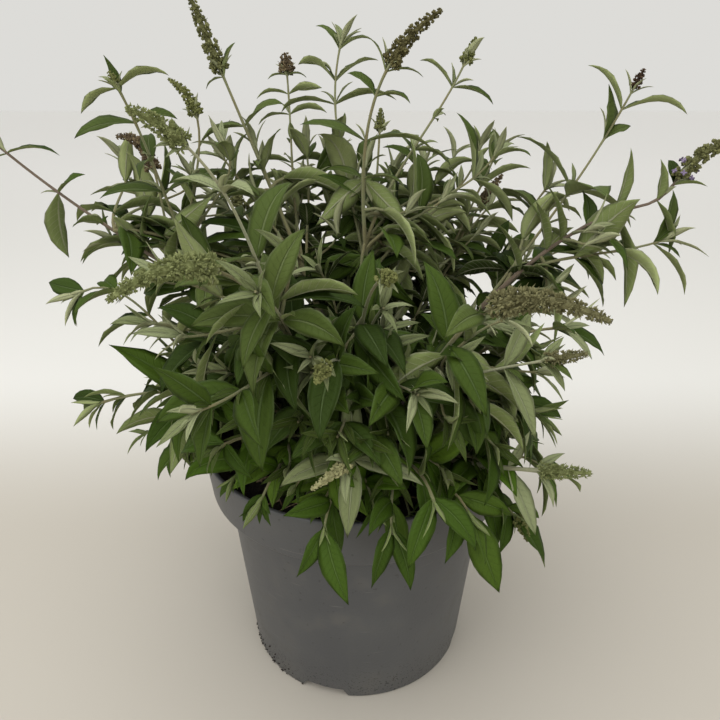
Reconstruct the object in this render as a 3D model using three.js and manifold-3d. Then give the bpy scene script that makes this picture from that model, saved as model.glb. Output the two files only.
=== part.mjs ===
// A butterfly bush in its nursery pot. Units are millimetres and +Z is up. The pot's axis is the
// Z axis and the pot stands on the plane z = 0.
//
// The bush grows from a low woody stool on the potting mix. Every limb runs out from one point, the
// heart of that stool, so the room round the heart is shared out as cones: each mass of foliage
// keeps to the cone round its own heading. A limb is a bough as far as the mass begins. The
// mass goes on from the bough's tip with its leader, the shoots that fork from it, opposite pairs
// of leaves at their nodes, and spikes of flower buds.

import * as THREE from "three";
import * as BufferGeometryUtils from "three/addons/utils/BufferGeometryUtils.js";
import Module from "manifold-3d";

const wasm = await Module();
wasm.setup();

// ---- Driving dimensions ----

const CLEARANCE = 0.3; // between solids that touch
const SHORTEST_EDGE = 0.01; // in a mesh
const WELD = 1e-4; // corners this close are one

const POT_HEIGHT = 212;
const POT_TOP_RADIUS = 130;
const POT_BASE_RADIUS = 98.5;
const POT_WALL = 2.5;
const POT_FLOOR = 12;
const POT_SIDES = 32;
const POT_FOOT_BEVEL = 1.5;
const BAND_HEIGHT = 42; // the wider band round the top of the pot
const BAND_FOOT_RADIUS = 126;
const BODY_TOP_RADIUS = 112.8; // the pot's body where the band begins
const LIP_HEIGHT = 4; // the thicker edge round the mouth
const LIP_WALL = 3.6;
const LIP_BEVEL = 1;

const DRAIN_BEARINGS = [73.6, 163.6, 253.6, 343.6]; // the channels under the foot, in degrees
const DRAIN_FOOT_WIDTH = 45;
const DRAIN_ROOF_WIDTH = 33;
const DRAIN_HEIGHT = 9;
const DRAIN_INNER_RADIUS = 58;
const DRAIN_HOLE_RADIUS = 6;
const DRAIN_HOLE_PLACE = 78; // from the pot's axis
const DRAIN_HOLE_SIDES = 8;
const DRAIN_OVERRUN = 1; // how far a channel's cut runs out below the pot's foot

const SOIL_HEIGHT = 192; // at the pot's wall
const SOIL_CROWNING = 2; // higher in the middle
const SOIL_SHOULDER = 0.7; // the share of its radius within which it is level

const STOOL_RADIUS = 30;
const STOOL_FLARE = 10; // wider at ground level
const STOOL_FLARE_STEPS = [[1, 0], [0.6, 0.2], [0.15, 0.6]]; // shares of the flare and of the heart's height
const HEART_HEIGHT = 11.7; // the heart above the cut at ground level
const STOOL_SIDES = 18;
const STOOL_RINGS = 5;

const BOUGH_SHARE = 0.24; // how much of a limb is bough
const BOUGH_FOOT_RADIUS = 4.2;
const BOUGH_TIP_RADIUS = 3;
const BOUGH_SIDES = 6;
const BOUGH_STEP = 40; // between its rings of corners

const LEADER_TIP_RADIUS = 1.4;
const SIDE_FOOT_RADIUS = 1.8;
const SIDE_TIP_RADIUS = 1.3;
const TWIG_SIDES = 3;
const STRAIGHT = 70; // a shoot bends after each such stretch
const PAIR_PLACES = [0.38, 0.88]; // where the pairs of leaves stand on a stretch
const GOLDEN_ANGLE = 137.5; // from each side shoot of a mass to the next, round its heading
const SIDE_ROLL = 54; // the most degrees that chance adds to that
const SIDE_SPREAD = [12, 18]; // degrees from a mass's heading to its side shoots
const SIDE_FLATNESS = 0.9; // of the ring they make, in height
const SIDE_SINK = 2; // degrees that the ring lies below the heading
const SIDE_REACH = [0.66, 0.86]; // share of the reach of the mass's shortest main shoot
const LOW_SIDE_REACH = [0.75, 0.93]; // and that in a low mass
const SIDE_SWING = [-15, 15]; // degrees that a side shoot's tip turns to one side
const SIDE_NOD = 25; // degrees that a side shoot's tip lies below its rise
const LOW_SIDE_NOD = 55; // and that of a low mass, which hangs over the pot's edge
const LOW_RISE = 20; // a mass with its heading under this many degrees is a low one
const PULLS = [0, 0.35, 0.6]; // how far a side shoot is drawn to the heading, until it fits
const FORK_PLACE = 0.6; // where a side shoot stands on a straight stretch of its stem
const FORK_LEANS = 0.35; // how far it starts along its stem rather than straight to its tip
const HANDLE = 0.36; // how long a shoot keeps to its first and last way, by its span
const STEEP = 0.9; // a shoot that starts with this share of its way upright is a steep one

const LEAF_LENGTH = 76;
const LEAF_LUCK = [0.9, 1.1]; // how chance varies the length
const LEAF_TIP_SHARE = 0.5; // the youngest leaf's share of the length of the longest
const LEAF_WIDTH = 0.36; // share of the length
const LEAF_THICKNESS = 0.028;
const LEAF_BELLY = 0.38; // where it is widest
const LEAF_FOLD = 0.3; // how far the edges stand above the midrib, by half the width
const LEAF_ANGLE = 54; // degrees from the shoot
const TIP_LEAF_ANGLE = 38;
const LEAF_FACES_UP = 0.5; // how far a leaf's face turns from the shoot's way to straight up
const LEAF_DROOP = 0.3; // how far the tip hangs, by the length
const SMALLER_LEAF = 0.7; // a leaf that doesn't fit is tried again at this size

const SIZES = {
  spike: { length: 58, radius: 6.5, whorls: 3 },
  bud: { length: 22, radius: 5, whorls: 1 },
};
const SPIKE_SIDES = 4;
const WHORL_WAIST = 0.7; // a spike's radius between its whorls
const SPIKE_TIP = 0.3; // its radius at the tip
const SPIKE_SEAT = 4; // how far the shoot runs up inside it
const SPIKE_MOST = 0.6; // the most of its shoot's length that it takes

const SPACE_MARGIN = 0.4; // a mass stays this far from the faces of its cone
const SHOOT_SEEDS = 10; // numbers of chance set aside for each mass's shoots
const CHANCE_WAVES = [12.9898, 78.233, 37.719];
const CHANCE_HEIGHT = 43758.5453;

// Each mass of foliage: its name, how many side shoots fill it, and its main shoots, the first of
// which is its leader. A shoot is the place of its tip and its looks: bearing in degrees (0 is +X,
// 90 is +Y), rise in degrees above the level of the heart, reach from the heart, the swing of its
// tip to one side in degrees, how steeply the tip points, and what it ends in.
const MASSES = [
  ["top", 2, [5, 80, 330, 5, 30, "spike"], [39, 69, 333, -10, 66, "bud"], [97, 73, 325, -50, 68, "leaf"],
    [30, 64, 262, 0, 82, "leaf"]],
  ["top_left", 2, [154, 68, 366, 20, 70, "spike"], [115, 64, 333, 0, 79, "bud"]],
  ["left", 1, [177, 42, 366, 5, 46, "leaf"], [168, 52, 306, 4, -8, "spike"],
    [196, 61, 330, 10, 66, "bud"], [176, 65, 312, 4, 30, "bud"]],
  ["left_front", 4, [213, 40, 215, 0, 15, "leaf"]],
  ["front_left", 2, [239, 40, 297, -25, -30, "spike"], [236, 55, 335, -17, 24, "spike"]],
  ["front", 5, [279, 52, 236, 10, 10, "bud"], [263, 38, 220, -5, -10, "bud"]],
  ["front_right", 3, [302, 38, 294, 28, -18, "spike"], [318, 35, 232, 25, 18, "bud"]],
  ["right_front", 3, [335, 38, 205, 0, 10, "leaf"]],
  ["right", 3, [354, 40, 368, 4, -22, "spike"], [11, 53, 362, -8, 68, "bud"]],
  ["back_right", 3, [48, 43, 285, 0, 30, "spike"]],
  ["back_top", 2, [82, 58, 300, 0, 70, "bud"]],
  ["back", 3, [92, 34, 240, 0, 0, "leaf"]],
  ["back_left", 3, [130, 43, 290, 0, 30, "spike"]],
  ["low_left", 2, [198, 17, 213, -10, -19, "leaf"], [192, 34, 250, 8, -35, "leaf"]],
  ["low_front_left", 1, [229, 20, 155, 0, -10, "leaf"], [243, 8, 146, 0, -45, "leaf"]],
  ["low_front", 2, [261, 20, 180, -60, -30, "bud"], [262, 5, 152, 0, -55, "leaf"]],
  ["low_front_right", 3, [289, 12, 162, 0, -45, "leaf"], [279, 5, 152, 0, -55, "leaf"],
    [300, 5, 156, 0, -55, "leaf"]],
  ["low_right_front", 2, [317, 15, 213, 20, 12, "spike"], [316, -6, 172, 15, -70, "bud"],
    [330, 6, 162, 0, -50, "leaf"]],
  ["low_right", 3, [0, 28, 170, 0, 0, "leaf"], [348, 12, 158, 0, -40, "leaf"]],
  ["low_back_right", 3, [38, 11, 180, 0, -30, "bud"]],
  ["low_back", 3, [72, 10, 170, 0, -40, "leaf"]],
  ["low_back_left", 3, [108, 11, 175, 0, -30, "bud"]],
  ["low_left_back", 3, [142, 10, 175, 0, -40, "leaf"]],
  ["low_far_left", 2, [171, 12, 175, 0, -30, "leaf"]],
];

// ---- Colours and materials ----

const grey = { color: 0x545350, roughness: 0.5, metalness: 0 };
const black = { color: 0x1c1713, roughness: 1, metalness: 0 };
const bark = { color: 0x8c7a60, roughness: 0.9, metalness: 0 };
const felt = { color: 0x70704e, roughness: 0.8, metalness: 0 };
const foliage = { color: 0x4e5f33, roughness: 0.7, metalness: 0 };

// ---- Solids ----

const UP = new THREE.Vector3(0, 0, 1);

function solidOf(geometry) {
  geometry.deleteAttribute("normal");
  geometry.deleteAttribute("uv");
  const merged = BufferGeometryUtils.mergeVertices(geometry, WELD);
  return new wasm.Manifold(new wasm.Mesh({
    numProp: 3,
    vertProperties: new Float32Array(merged.attributes.position.array),
    triVerts: new Uint32Array(merged.index.array),
  }));
}

// A solid's mesh. Where a joint left an edge too short to keep, its two ends become one corner, and
// the slivers beside it go.
function geometryOf(solid) {
  const { vertProperties, triVerts } = solid.getMesh();
  const cut = new THREE.BufferGeometry();
  cut.setAttribute("position", new THREE.BufferAttribute(vertProperties, 3));
  cut.setIndex(new THREE.BufferAttribute(triVerts, 1));
  const geometry = BufferGeometryUtils.mergeVertices(cut, WELD);
  const corners = cornersOf(geometry);
  const old = geometry.index.array;
  const standIn = corners.map((_, i) => i);
  const find = (i) => (standIn[i] === i ? i : find(standIn[i]));
  for (let i = 0; i < old.length; i += 1) {
    const next = i % 3 === 2 ? i - 2 : i + 1;
    if (corners[old[i]].distanceTo(corners[old[next]]) < SHORTEST_EDGE) {
      standIn[find(old[i])] = find(old[next]);
    }
  }
  const index = [];
  for (let i = 0; i < old.length; i += 3) {
    const [a, b, c] = [find(old[i]), find(old[i + 1]), find(old[i + 2])];
    if (a !== b && b !== c && c !== a) {
      index.push(a, b, c);
    }
  }
  geometry.setIndex(index);
  const tidy = BufferGeometryUtils.mergeVertices(geometry.toNonIndexed(), WELD);
  tidy.computeVertexNormals();
  return tidy;
}

function cornersOf(geometry) {
  const position = geometry.attributes.position;
  const cornerAt = (i) => new THREE.Vector3().fromBufferAttribute(position, i);
  return Array.from({ length: position.count }, (_, i) => cornerAt(i));
}

// A solid of revolution about the Z axis, from points [radius, height] that close on themselves.
function turned(profile, sides) {
  const points = profile.map(([radius, height]) => new THREE.Vector2(radius, height));
  return new THREE.LatheGeometry(points, sides).rotateX(Math.PI / 2);
}

const clear = (solid, other) => solid.intersect(other).isEmpty();

// ---- Directions and chance ----

const radians = THREE.MathUtils.degToRad;

function direction(bearing, rise) {
  const level = Math.cos(radians(rise));
  return new THREE.Vector3(
    level * Math.cos(radians(bearing)),
    level * Math.sin(radians(bearing)),
    Math.sin(radians(rise)),
  );
}

// The same number from 0 to 1 each time for the same three whole numbers.
function chance(...numbers) {
  const turn = numbers.reduce((sum, number, i) => sum + number * CHANCE_WAVES[i], 0);
  const wave = Math.sin(turn) * CHANCE_HEIGHT;
  return wave - Math.floor(wave);
}

const between = ([low, high], share) => THREE.MathUtils.lerp(low, high, share);

// ---- The pot and the potting mix ----

// The inner face of the pot's wall: a straight body, a step out under the band, and the band.
const bandFoot = POT_HEIGHT - BAND_HEIGHT;
const innerBodyRadius = (height) => {
  const share = height / bandFoot;
  return THREE.MathUtils.lerp(POT_BASE_RADIUS, BODY_TOP_RADIUS, share) - POT_WALL;
};
const innerBandRadius = (height) => {
  const share = (height - bandFoot) / BAND_HEIGHT;
  return THREE.MathUtils.lerp(BAND_FOOT_RADIUS, POT_TOP_RADIUS, share) - POT_WALL;
};
const ledge = bandFoot + POT_WALL; // the top of the step, inside

function makeChannel(bearing) {
  const profile = new THREE.Shape([
    new THREE.Vector2(-DRAIN_FOOT_WIDTH / 2 - DRAIN_OVERRUN, -DRAIN_OVERRUN),
    new THREE.Vector2(DRAIN_FOOT_WIDTH / 2 + DRAIN_OVERRUN, -DRAIN_OVERRUN),
    new THREE.Vector2(DRAIN_ROOF_WIDTH / 2, DRAIN_HEIGHT),
    new THREE.Vector2(-DRAIN_ROOF_WIDTH / 2, DRAIN_HEIGHT),
  ]);
  const channel = new THREE.ExtrudeGeometry(profile, { depth: POT_BASE_RADIUS, bevelEnabled: false });
  channel.rotateX(Math.PI / 2).rotateZ(Math.PI / 2).translate(DRAIN_INNER_RADIUS, 0, 0);
  const holeLength = POT_FLOOR * 2;
  const hole = new THREE.CylinderGeometry(DRAIN_HOLE_RADIUS, DRAIN_HOLE_RADIUS, holeLength, DRAIN_HOLE_SIDES);
  hole.rotateX(Math.PI / 2).translate(DRAIN_HOLE_PLACE, 0, POT_FLOOR);
  return solidOf(channel.rotateZ(radians(bearing))).add(solidOf(hole.rotateZ(radians(bearing))));
}

function makePot() {
  const lipInside = POT_TOP_RADIUS - LIP_WALL;
  const lipFoot = POT_HEIGHT - LIP_HEIGHT;
  const shell = solidOf(turned([
    [0, 0],
    [POT_BASE_RADIUS - POT_FOOT_BEVEL, 0],
    [POT_BASE_RADIUS, POT_FOOT_BEVEL],
    [BODY_TOP_RADIUS, bandFoot],
    [BAND_FOOT_RADIUS, bandFoot],
    [POT_TOP_RADIUS, POT_HEIGHT - LIP_BEVEL],
    [POT_TOP_RADIUS - LIP_BEVEL, POT_HEIGHT],
    [lipInside, POT_HEIGHT],
    [lipInside, lipFoot],
    [innerBandRadius(lipFoot), lipFoot - LIP_BEVEL],
    [innerBandRadius(ledge), ledge],
    [innerBodyRadius(ledge), ledge],
    [innerBodyRadius(POT_FLOOR), POT_FLOOR],
    [0, POT_FLOOR],
  ], POT_SIDES));
  return DRAIN_BEARINGS.reduce((pot, bearing) => pot.subtract(makeChannel(bearing)), shell);
}

function makeSoil() {
  const floor = POT_FLOOR + CLEARANCE;
  const step = ledge + CLEARANCE;
  return solidOf(turned([
    [0, floor],
    [innerBodyRadius(floor) - CLEARANCE, floor],
    [innerBodyRadius(ledge) - CLEARANCE, step],
    [innerBandRadius(step) - CLEARANCE, step],
    [innerBandRadius(SOIL_HEIGHT) - CLEARANCE, SOIL_HEIGHT],
    [innerBandRadius(SOIL_HEIGHT) * SOIL_SHOULDER, SOIL_HEIGHT + SOIL_CROWNING],
    [0, SOIL_HEIGHT + SOIL_CROWNING],
  ], POT_SIDES));
}

// ---- The stool that every limb grows from ----

const ground = SOIL_HEIGHT + SOIL_CROWNING + CLEARANCE;
const heart = new THREE.Vector3(0, 0, ground + HEART_HEIGHT);

// A dome round the heart, so that each bough's foot lies flat against it, with a flare at ground
// level.
function makeStool() {
  const flare = STOOL_FLARE_STEPS.map(([out, up]) => {
    const radius = STOOL_RADIUS + STOOL_FLARE * out;
    return [radius, ground + HEART_HEIGHT * up];
  });
  const profile = [[0, ground], ...flare];
  for (let ring = 0; ring <= STOOL_RINGS; ring += 1) {
    const turn = (ring / STOOL_RINGS) * (Math.PI / 2);
    const radius = ring === STOOL_RINGS ? 0 : STOOL_RADIUS * Math.cos(turn);
    profile.push([radius, heart.z + STOOL_RADIUS * Math.sin(turn)]);
  }
  return solidOf(turned(profile, STOOL_SIDES));
}

// ---- Shoots ----

// The way that a shoot runs at one of its points, and two directions square to it, which turn as
// little as they can from point to point.
function frameAt(points, row) {
  const last = points.length - 1;
  const firstWay = points[1].clone().sub(points[0]).normalize();
  const level = Math.abs(firstWay.z) > STEEP ? new THREE.Vector3(1, 0, 0) : firstWay.clone().cross(UP);
  const along = points[Math.min(row + 1, last)].clone().sub(points[Math.max(row - 1, 0)]).normalize();
  const across = level.addScaledVector(along, -level.dot(along)).normalize();
  return { along, across, third: across.clone().cross(along) };
}

// A body along a row of points, with its own radius at each: a cylinder whose rows of vertices are
// laid on the points, each square to the way that the shoot runs there.
function sweep(points, radii, sides) {
  const rows = points.length - 1;
  const cylinder = new THREE.CylinderGeometry(1, 1, 1, sides, rows);
  const position = cylinder.attributes.position;
  const frames = points.map((_, row) => frameAt(points, row));
  for (let i = 0; i < position.count; i += 1) {
    const row = Math.round((position.getY(i) + 0.5) * rows);
    const place = points[row].clone()
      .addScaledVector(frames[row].across, position.getX(i) * radii[row])
      .addScaledVector(frames[row].third, position.getZ(i) * radii[row]);
    position.setXYZ(i, place.x, place.y, place.z);
  }
  return cylinder;
}

function taper(points, from, to) {
  const last = points.length - 1;
  return points.map((_, i) => THREE.MathUtils.lerp(from, to, i / last));
}

// The way a shoot runs from its foot to its tip: first out along `way`, at the end along `tipWay`.
function shootCurve(foot, way, tip, tipWay) {
  const handle = foot.distanceTo(tip) * HANDLE;
  const first = foot.clone().addScaledVector(way, handle);
  const second = tip.clone().addScaledVector(tipWay, -handle);
  return new THREE.CubicBezierCurve3(foot, first, second, tip);
}

function stretch(curve, from, to, spacing) {
  const count = Math.max(2, Math.round(((to - from) * curve.getLength()) / spacing));
  const points = [];
  for (let i = 0; i <= count; i += 1) {
    points.push(curve.getPointAt(THREE.MathUtils.lerp(from, to, i / count)));
  }
  return points;
}

const spikeStart = (curve, size) => 1 - Math.min(SPIKE_MOST, size.length / curve.getLength());

// A tapering spike of flower buds, in whorls.
function makeSpike(curve, size) {
  const start = spikeStart(curve, size);
  const rows = size.whorls * 2;
  const points = [];
  const radii = [];
  for (let row = 0; row <= rows; row += 1) {
    const share = row / rows;
    const isWhorl = row % 2 === 1;
    points.push(curve.getPointAt(THREE.MathUtils.lerp(start, 1, share)));
    radii.push(size.radius * THREE.MathUtils.lerp(1, SPIKE_TIP, share) * (isWhorl ? 1 : WHORL_WAIST));
  }
  radii[0] = size.radius * SPIKE_TIP;
  return sweep(points, radii, SPIKE_SIDES);
}

// ---- Leaves ----

const octahedron = BufferGeometryUtils.mergeVertices(
  new THREE.OctahedronGeometry(1).deleteAttribute("normal").deleteAttribute("uv"),
);

// A leaf folded up along its midrib, that arches out from `root` along `way` and hangs at the tip.
// The six corners of an octahedron become its root and tip, the midrib above and below, and its
// two edges.
function makeLeaf(root, way, upper, length) {
  const across = new THREE.Vector3().crossVectors(way, upper).normalize();
  const normal = new THREE.Vector3().crossVectors(across, way).normalize();
  const halfWidth = (length * LEAF_WIDTH) / 2;
  const halfThickness = (length * LEAF_THICKNESS) / 2;
  const leaf = octahedron.clone();
  const position = leaf.attributes.position;
  for (let i = 0; i < position.count; i += 1) {
    const [end, face, edge] = [position.getX(i), position.getY(i), position.getZ(i)].map(Math.round);
    const share = { "-1": 0, 0: LEAF_BELLY, 1: 1 }[end];
    const place = root.clone()
      .addScaledVector(way, share * length)
      .addScaledVector(UP, -LEAF_DROOP * share * share * length)
      .addScaledVector(normal, face * halfThickness + Math.abs(edge) * LEAF_FOLD * halfWidth)
      .addScaledVector(across, edge * halfWidth);
    position.setXYZ(i, place.x, place.y, place.z);
  }
  return leaf;
}

// ---- The masses and their spaces ----

const tipOf = ([bearing, rise, reach]) => heart.clone().addScaledVector(direction(bearing, rise), reach);
const tipWayOf = ([bearing, , , swing, lie]) => direction(bearing + swing, lie);
const endingOf = (shoot) => shoot[5];

const headings = MASSES.map(([, , ...shoots]) => shoots
  .reduce((sum, [bearing, rise]) => sum.add(direction(bearing, rise)), new THREE.Vector3())
  .normalize());

// Each mass's cone is cut out by the planes half way to the other headings.
const faces = headings.map((heading, i) => headings
  .filter((_, j) => j !== i)
  .map((other) => heading.clone().sub(other).normalize()));

function isInSpace(mass, corners) {
  return corners.every((corner) => {
    const out = corner.clone().sub(heart);
    return corner.z > 0 && faces[mass].every((face) => out.dot(face) > SPACE_MARGIN);
  });
}

// The side shoots stand round a mass's heading, each a golden angle on from the last.
function sideShoots(mass, count, mainShoots) {
  const heading = headings[mass];
  const bearing = THREE.MathUtils.radToDeg(Math.atan2(heading.y, heading.x));
  const rise = THREE.MathUtils.radToDeg(Math.asin(heading.z));
  const isLow = rise < LOW_RISE;
  const nod = isLow ? LOW_SIDE_NOD : SIDE_NOD;
  const share = isLow ? LOW_SIDE_REACH : SIDE_REACH;
  const reach = Math.min(...mainShoots.map((shoot) => shoot[2]));
  return Array.from({ length: count }, (_, k) => {
    const roll = radians(GOLDEN_ANGLE * (k + 0.5) + SIDE_ROLL * chance(mass, k, 1));
    const spread = between(SIDE_SPREAD, chance(mass, k, 2));
    const sideRise = rise + spread * Math.sin(roll) * SIDE_FLATNESS - SIDE_SINK;
    return [
      bearing + (spread * Math.cos(roll)) / Math.cos(radians(rise)),
      sideRise,
      reach * between(share, chance(mass, k, 3)),
      between(SIDE_SWING, chance(mass, k, 5)),
      sideRise - nod,
      "leaf",
    ];
  });
}

// A limb's curve runs out from the stool, square to its dome, to the tip of the mass's leader.
function limbCurve(mass) {
  const leader = MASSES[mass][2];
  const foot = heart.clone().addScaledVector(headings[mass], STOOL_RADIUS + CLEARANCE);
  return shootCurve(foot, headings[mass], tipOf(leader), tipWayOf(leader));
}

function makeBough(mass) {
  const points = stretch(limbCurve(mass), 0, BOUGH_SHARE, BOUGH_STEP);
  return solidOf(sweep(points, taper(points, BOUGH_FOOT_RADIUS, BOUGH_TIP_RADIUS), BOUGH_SIDES));
}

// The leaves of one shoot: opposite pairs, each square to the last. Each straight stretch of the
// shoot carries a pair at each of its places, rooted in the middle of the shoot.
function* leavesAlong(points, seed) {
  const count = (points.length - 1) * PAIR_PLACES.length;
  for (let pair = 1; pair <= count; pair += 1) {
    const straight = Math.ceil(pair / PAIR_PLACES.length);
    const place = PAIR_PLACES[(pair - 1) % PAIR_PLACES.length];
    const { across, third } = frameAt(points, straight);
    const along = points[straight].clone().sub(points[straight - 1]).normalize();
    const angle = radians(pair === count ? TIP_LEAF_ANGLE : LEAF_ANGLE);
    for (const half of [0, 1]) {
      const turn = (pair * 0.5 + half) * Math.PI;
      const out = across.clone().multiplyScalar(Math.cos(turn)).addScaledVector(third, Math.sin(turn));
      const way = along.clone().multiplyScalar(Math.cos(angle)).addScaledVector(out, Math.sin(angle));
      const upper = along.clone().addScaledVector(UP, LEAF_FACES_UP);
      const root = points[straight - 1].clone().lerp(points[straight], place);
      const youth = THREE.MathUtils.lerp(1, LEAF_TIP_SHARE, (pair / count) ** 2);
      const length = LEAF_LENGTH * youth * between(LEAF_LUCK, chance(seed, pair, 6 + half));
      yield { root, way, upper, length, isSecond: half === 1 };
    }
  }
}

// A shoot as far as its spike begins, or to its tip, in straight stretches.
function woodOf(curve, from, size) {
  const end = size ? spikeStart(curve, size) + SPIKE_SEAT / curve.getLength() : 1;
  return stretch(curve, from, end, STRAIGHT);
}

// A mass's side shoot stands nearer to the heading where it would leave the mass's space.
function fitShoot(mass, shoot, stem, fork, obstacles) {
  const way = stem[fork].clone().sub(stem[fork - 1]).normalize();
  const foot = stem[fork - 1].clone().lerp(stem[fork], FORK_PLACE);
  const heading = headings[mass];
  for (const pull of PULLS) {
    const tip = tipOf(shoot).sub(heart);
    const reach = tip.length();
    tip.normalize().lerp(heading, pull).setLength(reach).add(heart);
    const tipWay = tipWayOf(shoot).lerp(heading, pull).normalize();
    const firstWay = tip.clone().sub(foot).normalize().lerp(way, FORK_LEANS).normalize();
    const curve = shootCurve(foot, firstWay, tip, tipWay);
    const points = woodOf(curve, 0, SIZES[endingOf(shoot)]);
    const twig = sweep(points, taper(points, SIDE_FOOT_RADIUS, SIDE_TIP_RADIUS), TWIG_SIDES);
    const solid = solidOf(twig.clone());
    if (isInSpace(mass, cornersOf(twig)) && obstacles.every((other) => clear(solid, other))) {
      return { curve, points, solid, ending: endingOf(shoot) };
    }
  }
  return null;
}

function makeMass(mass, bough, pot, soil) {
  const [, fill, ...mainShoots] = MASSES[mass];
  const limb = limbCurve(mass);
  const leaderEnding = endingOf(mainShoots[0]);
  const stem = woodOf(limb, BOUGH_SHARE + CLEARANCE / limb.getLength(), SIZES[leaderEnding]);
  const leader = solidOf(sweep(stem, taper(stem, BOUGH_TIP_RADIUS, LEADER_TIP_RADIUS), TWIG_SIDES));
  const shoots = [{ curve: limb, points: stem, solid: leader, ending: leaderEnding }];
  [...mainShoots.slice(1), ...sideShoots(mass, fill, mainShoots)].forEach((shoot, k) => {
    const fork = 1 + (k % Math.max(1, stem.length - 2));
    const side = fitShoot(mass, shoot, stem, fork, [bough, pot]);
    if (side) {
      shoots.push(side);
    }
  });

  const spikes = shoots.filter(({ ending }) => SIZES[ending])
    .map(({ curve, ending }) => solidOf(makeSpike(curve, SIZES[ending])));
  const leaves = [];
  shoots.forEach(({ points, solid: ownShoot }, k) => {
    const otherShoots = shoots.map(({ solid }) => solid).filter((solid) => solid !== ownShoot);
    let partner = null;
    for (const { root, way, upper, length, isSecond } of leavesAlong(points, mass * SHOOT_SEEDS + k)) {
      for (const size of [length, length * SMALLER_LEAF]) {
        const leaf = makeLeaf(root, way, upper, size);
        if (!isInSpace(mass, cornersOf(leaf))) {
          continue;
        }
        const solid = solidOf(leaf);
        const otherLeaves = leaves.filter((other) => !(isSecond && other === partner));
        const obstacles = [bough, pot, soil, ...otherShoots, ...spikes, ...otherLeaves];
        if (obstacles.every((other) => clear(solid, other))) {
          leaves.push(solid);
          partner = solid;
          break;
        }
      }
    }
  });
  const wood = [...shoots.map(({ solid }) => solid), ...spikes].reduce((sum, solid) => sum.add(solid));
  return leaves.reduce((sum, leaf) => sum.add(leaf), wood);
}

// ---- The whole plant ----

const plant = new THREE.Group();

function addNode(name, solid, finish) {
  const mesh = new THREE.Mesh(geometryOf(solid), new THREE.MeshStandardMaterial(finish));
  mesh.name = name;
  plant.add(mesh);
}

const pot = makePot();
const soil = makeSoil();
addNode("pot", pot, grey);
addNode("soil", soil, black);
addNode("stool", makeStool(), bark);
MASSES.forEach(([name], mass) => {
  const bough = makeBough(mass);
  addNode(`bough_${name}`, bough, felt);
  addNode(`mass_${name}`, makeMass(mass, bough, pot, soil), foliage);
});

export default plant;
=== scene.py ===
# A young butterfly bush in the round nursery pot it is sold in, built up in the order in which such a
# plant is put together: the pot, the potting mix, the woody base, the boughs, the shoots that go on
# from them, and then leaves and flower buds. All lengths are in metres, in the frame of the solids.
import math

import bpy
import numpy as np
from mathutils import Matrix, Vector


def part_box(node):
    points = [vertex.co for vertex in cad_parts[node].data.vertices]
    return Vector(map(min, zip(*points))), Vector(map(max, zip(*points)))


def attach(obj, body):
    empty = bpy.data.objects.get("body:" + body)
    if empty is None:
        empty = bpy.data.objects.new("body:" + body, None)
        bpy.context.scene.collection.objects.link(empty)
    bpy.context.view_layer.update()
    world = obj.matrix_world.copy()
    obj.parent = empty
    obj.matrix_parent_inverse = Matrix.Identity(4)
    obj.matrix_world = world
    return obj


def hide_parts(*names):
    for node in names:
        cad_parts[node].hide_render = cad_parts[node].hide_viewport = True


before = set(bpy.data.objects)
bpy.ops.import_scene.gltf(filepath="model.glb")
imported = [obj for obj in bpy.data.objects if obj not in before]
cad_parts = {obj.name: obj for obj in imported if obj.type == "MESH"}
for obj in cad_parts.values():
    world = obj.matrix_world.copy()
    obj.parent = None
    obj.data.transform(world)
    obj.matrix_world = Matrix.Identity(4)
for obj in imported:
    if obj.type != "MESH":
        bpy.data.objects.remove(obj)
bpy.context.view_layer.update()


# ---- The studio ----
# A plain pale floor under soft light from large lamps overhead and to the sides, as in a light hall.
# The camera stands in front of the pot, above the crown, and looks down on it.
def colour(code):
    """The linear colour of a code such as 8c7a60."""
    parts = [int(code[i:i + 2], 16) / 255 for i in (0, 2, 4)]
    linear = [((part + 0.055) / 1.055) ** 2.4 if part > 0.04 else part / 12.92 for part in parts]
    return (*linear, 1.0)


class Signal:
    """What a node gives, which changes over a surface. Sums with signals and numbers add Math nodes."""

    def __init__(self, tree, socket):
        self.tree = tree
        self.socket = socket

    @classmethod
    def node(cls, tree, kind, settings=None, sockets=None, output=0):
        """Adds a node: its settings first, then the values or links of its sockets."""
        node = tree.nodes.new(kind)
        for name, value in (settings or {}).items():
            setattr(node, name, value)
        for name, value in (sockets or {}).items():
            if isinstance(value, Signal):
                tree.links.new(value.socket, node.inputs[name])
            else:
                node.inputs[name].default_value = value
        return cls(tree, node.outputs[output])

    def math(self, operation, *others):
        sockets = dict(enumerate((self, *others)))
        return self.node(self.tree, "ShaderNodeMath", {"operation": operation}, sockets)

    def __add__(self, other):
        return self.math("ADD", other)

    __radd__ = __add__

    def __sub__(self, other):
        return self.math("SUBTRACT", other)

    def __rsub__(self, other):
        return (self * -1).math("ADD", other)

    def __mul__(self, other):
        return self.math("MULTIPLY", other)

    __rmul__ = __mul__

    def __truediv__(self, other):
        return self.math("DIVIDE", other)

    def __abs__(self):
        return self.math("ABSOLUTE")

    def step(self, low, high):
        """From 0 where the signal is at low to 1 where it is at high, without a corner."""
        sockets = {"Value": self, "From Min": low, "From Max": high}
        return self.node(self.tree, "ShaderNodeMapRange", {"interpolation_type": "SMOOTHSTEP"}, sockets)

    def between(self, first, second):
        """The first colour where the signal is 0, the second where it is 1."""
        sockets = {"Factor": self, 6: first, 7: second}
        return self.node(self.tree, "ShaderNodeMix", {"data_type": "RGBA"}, sockets, 2)


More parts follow.
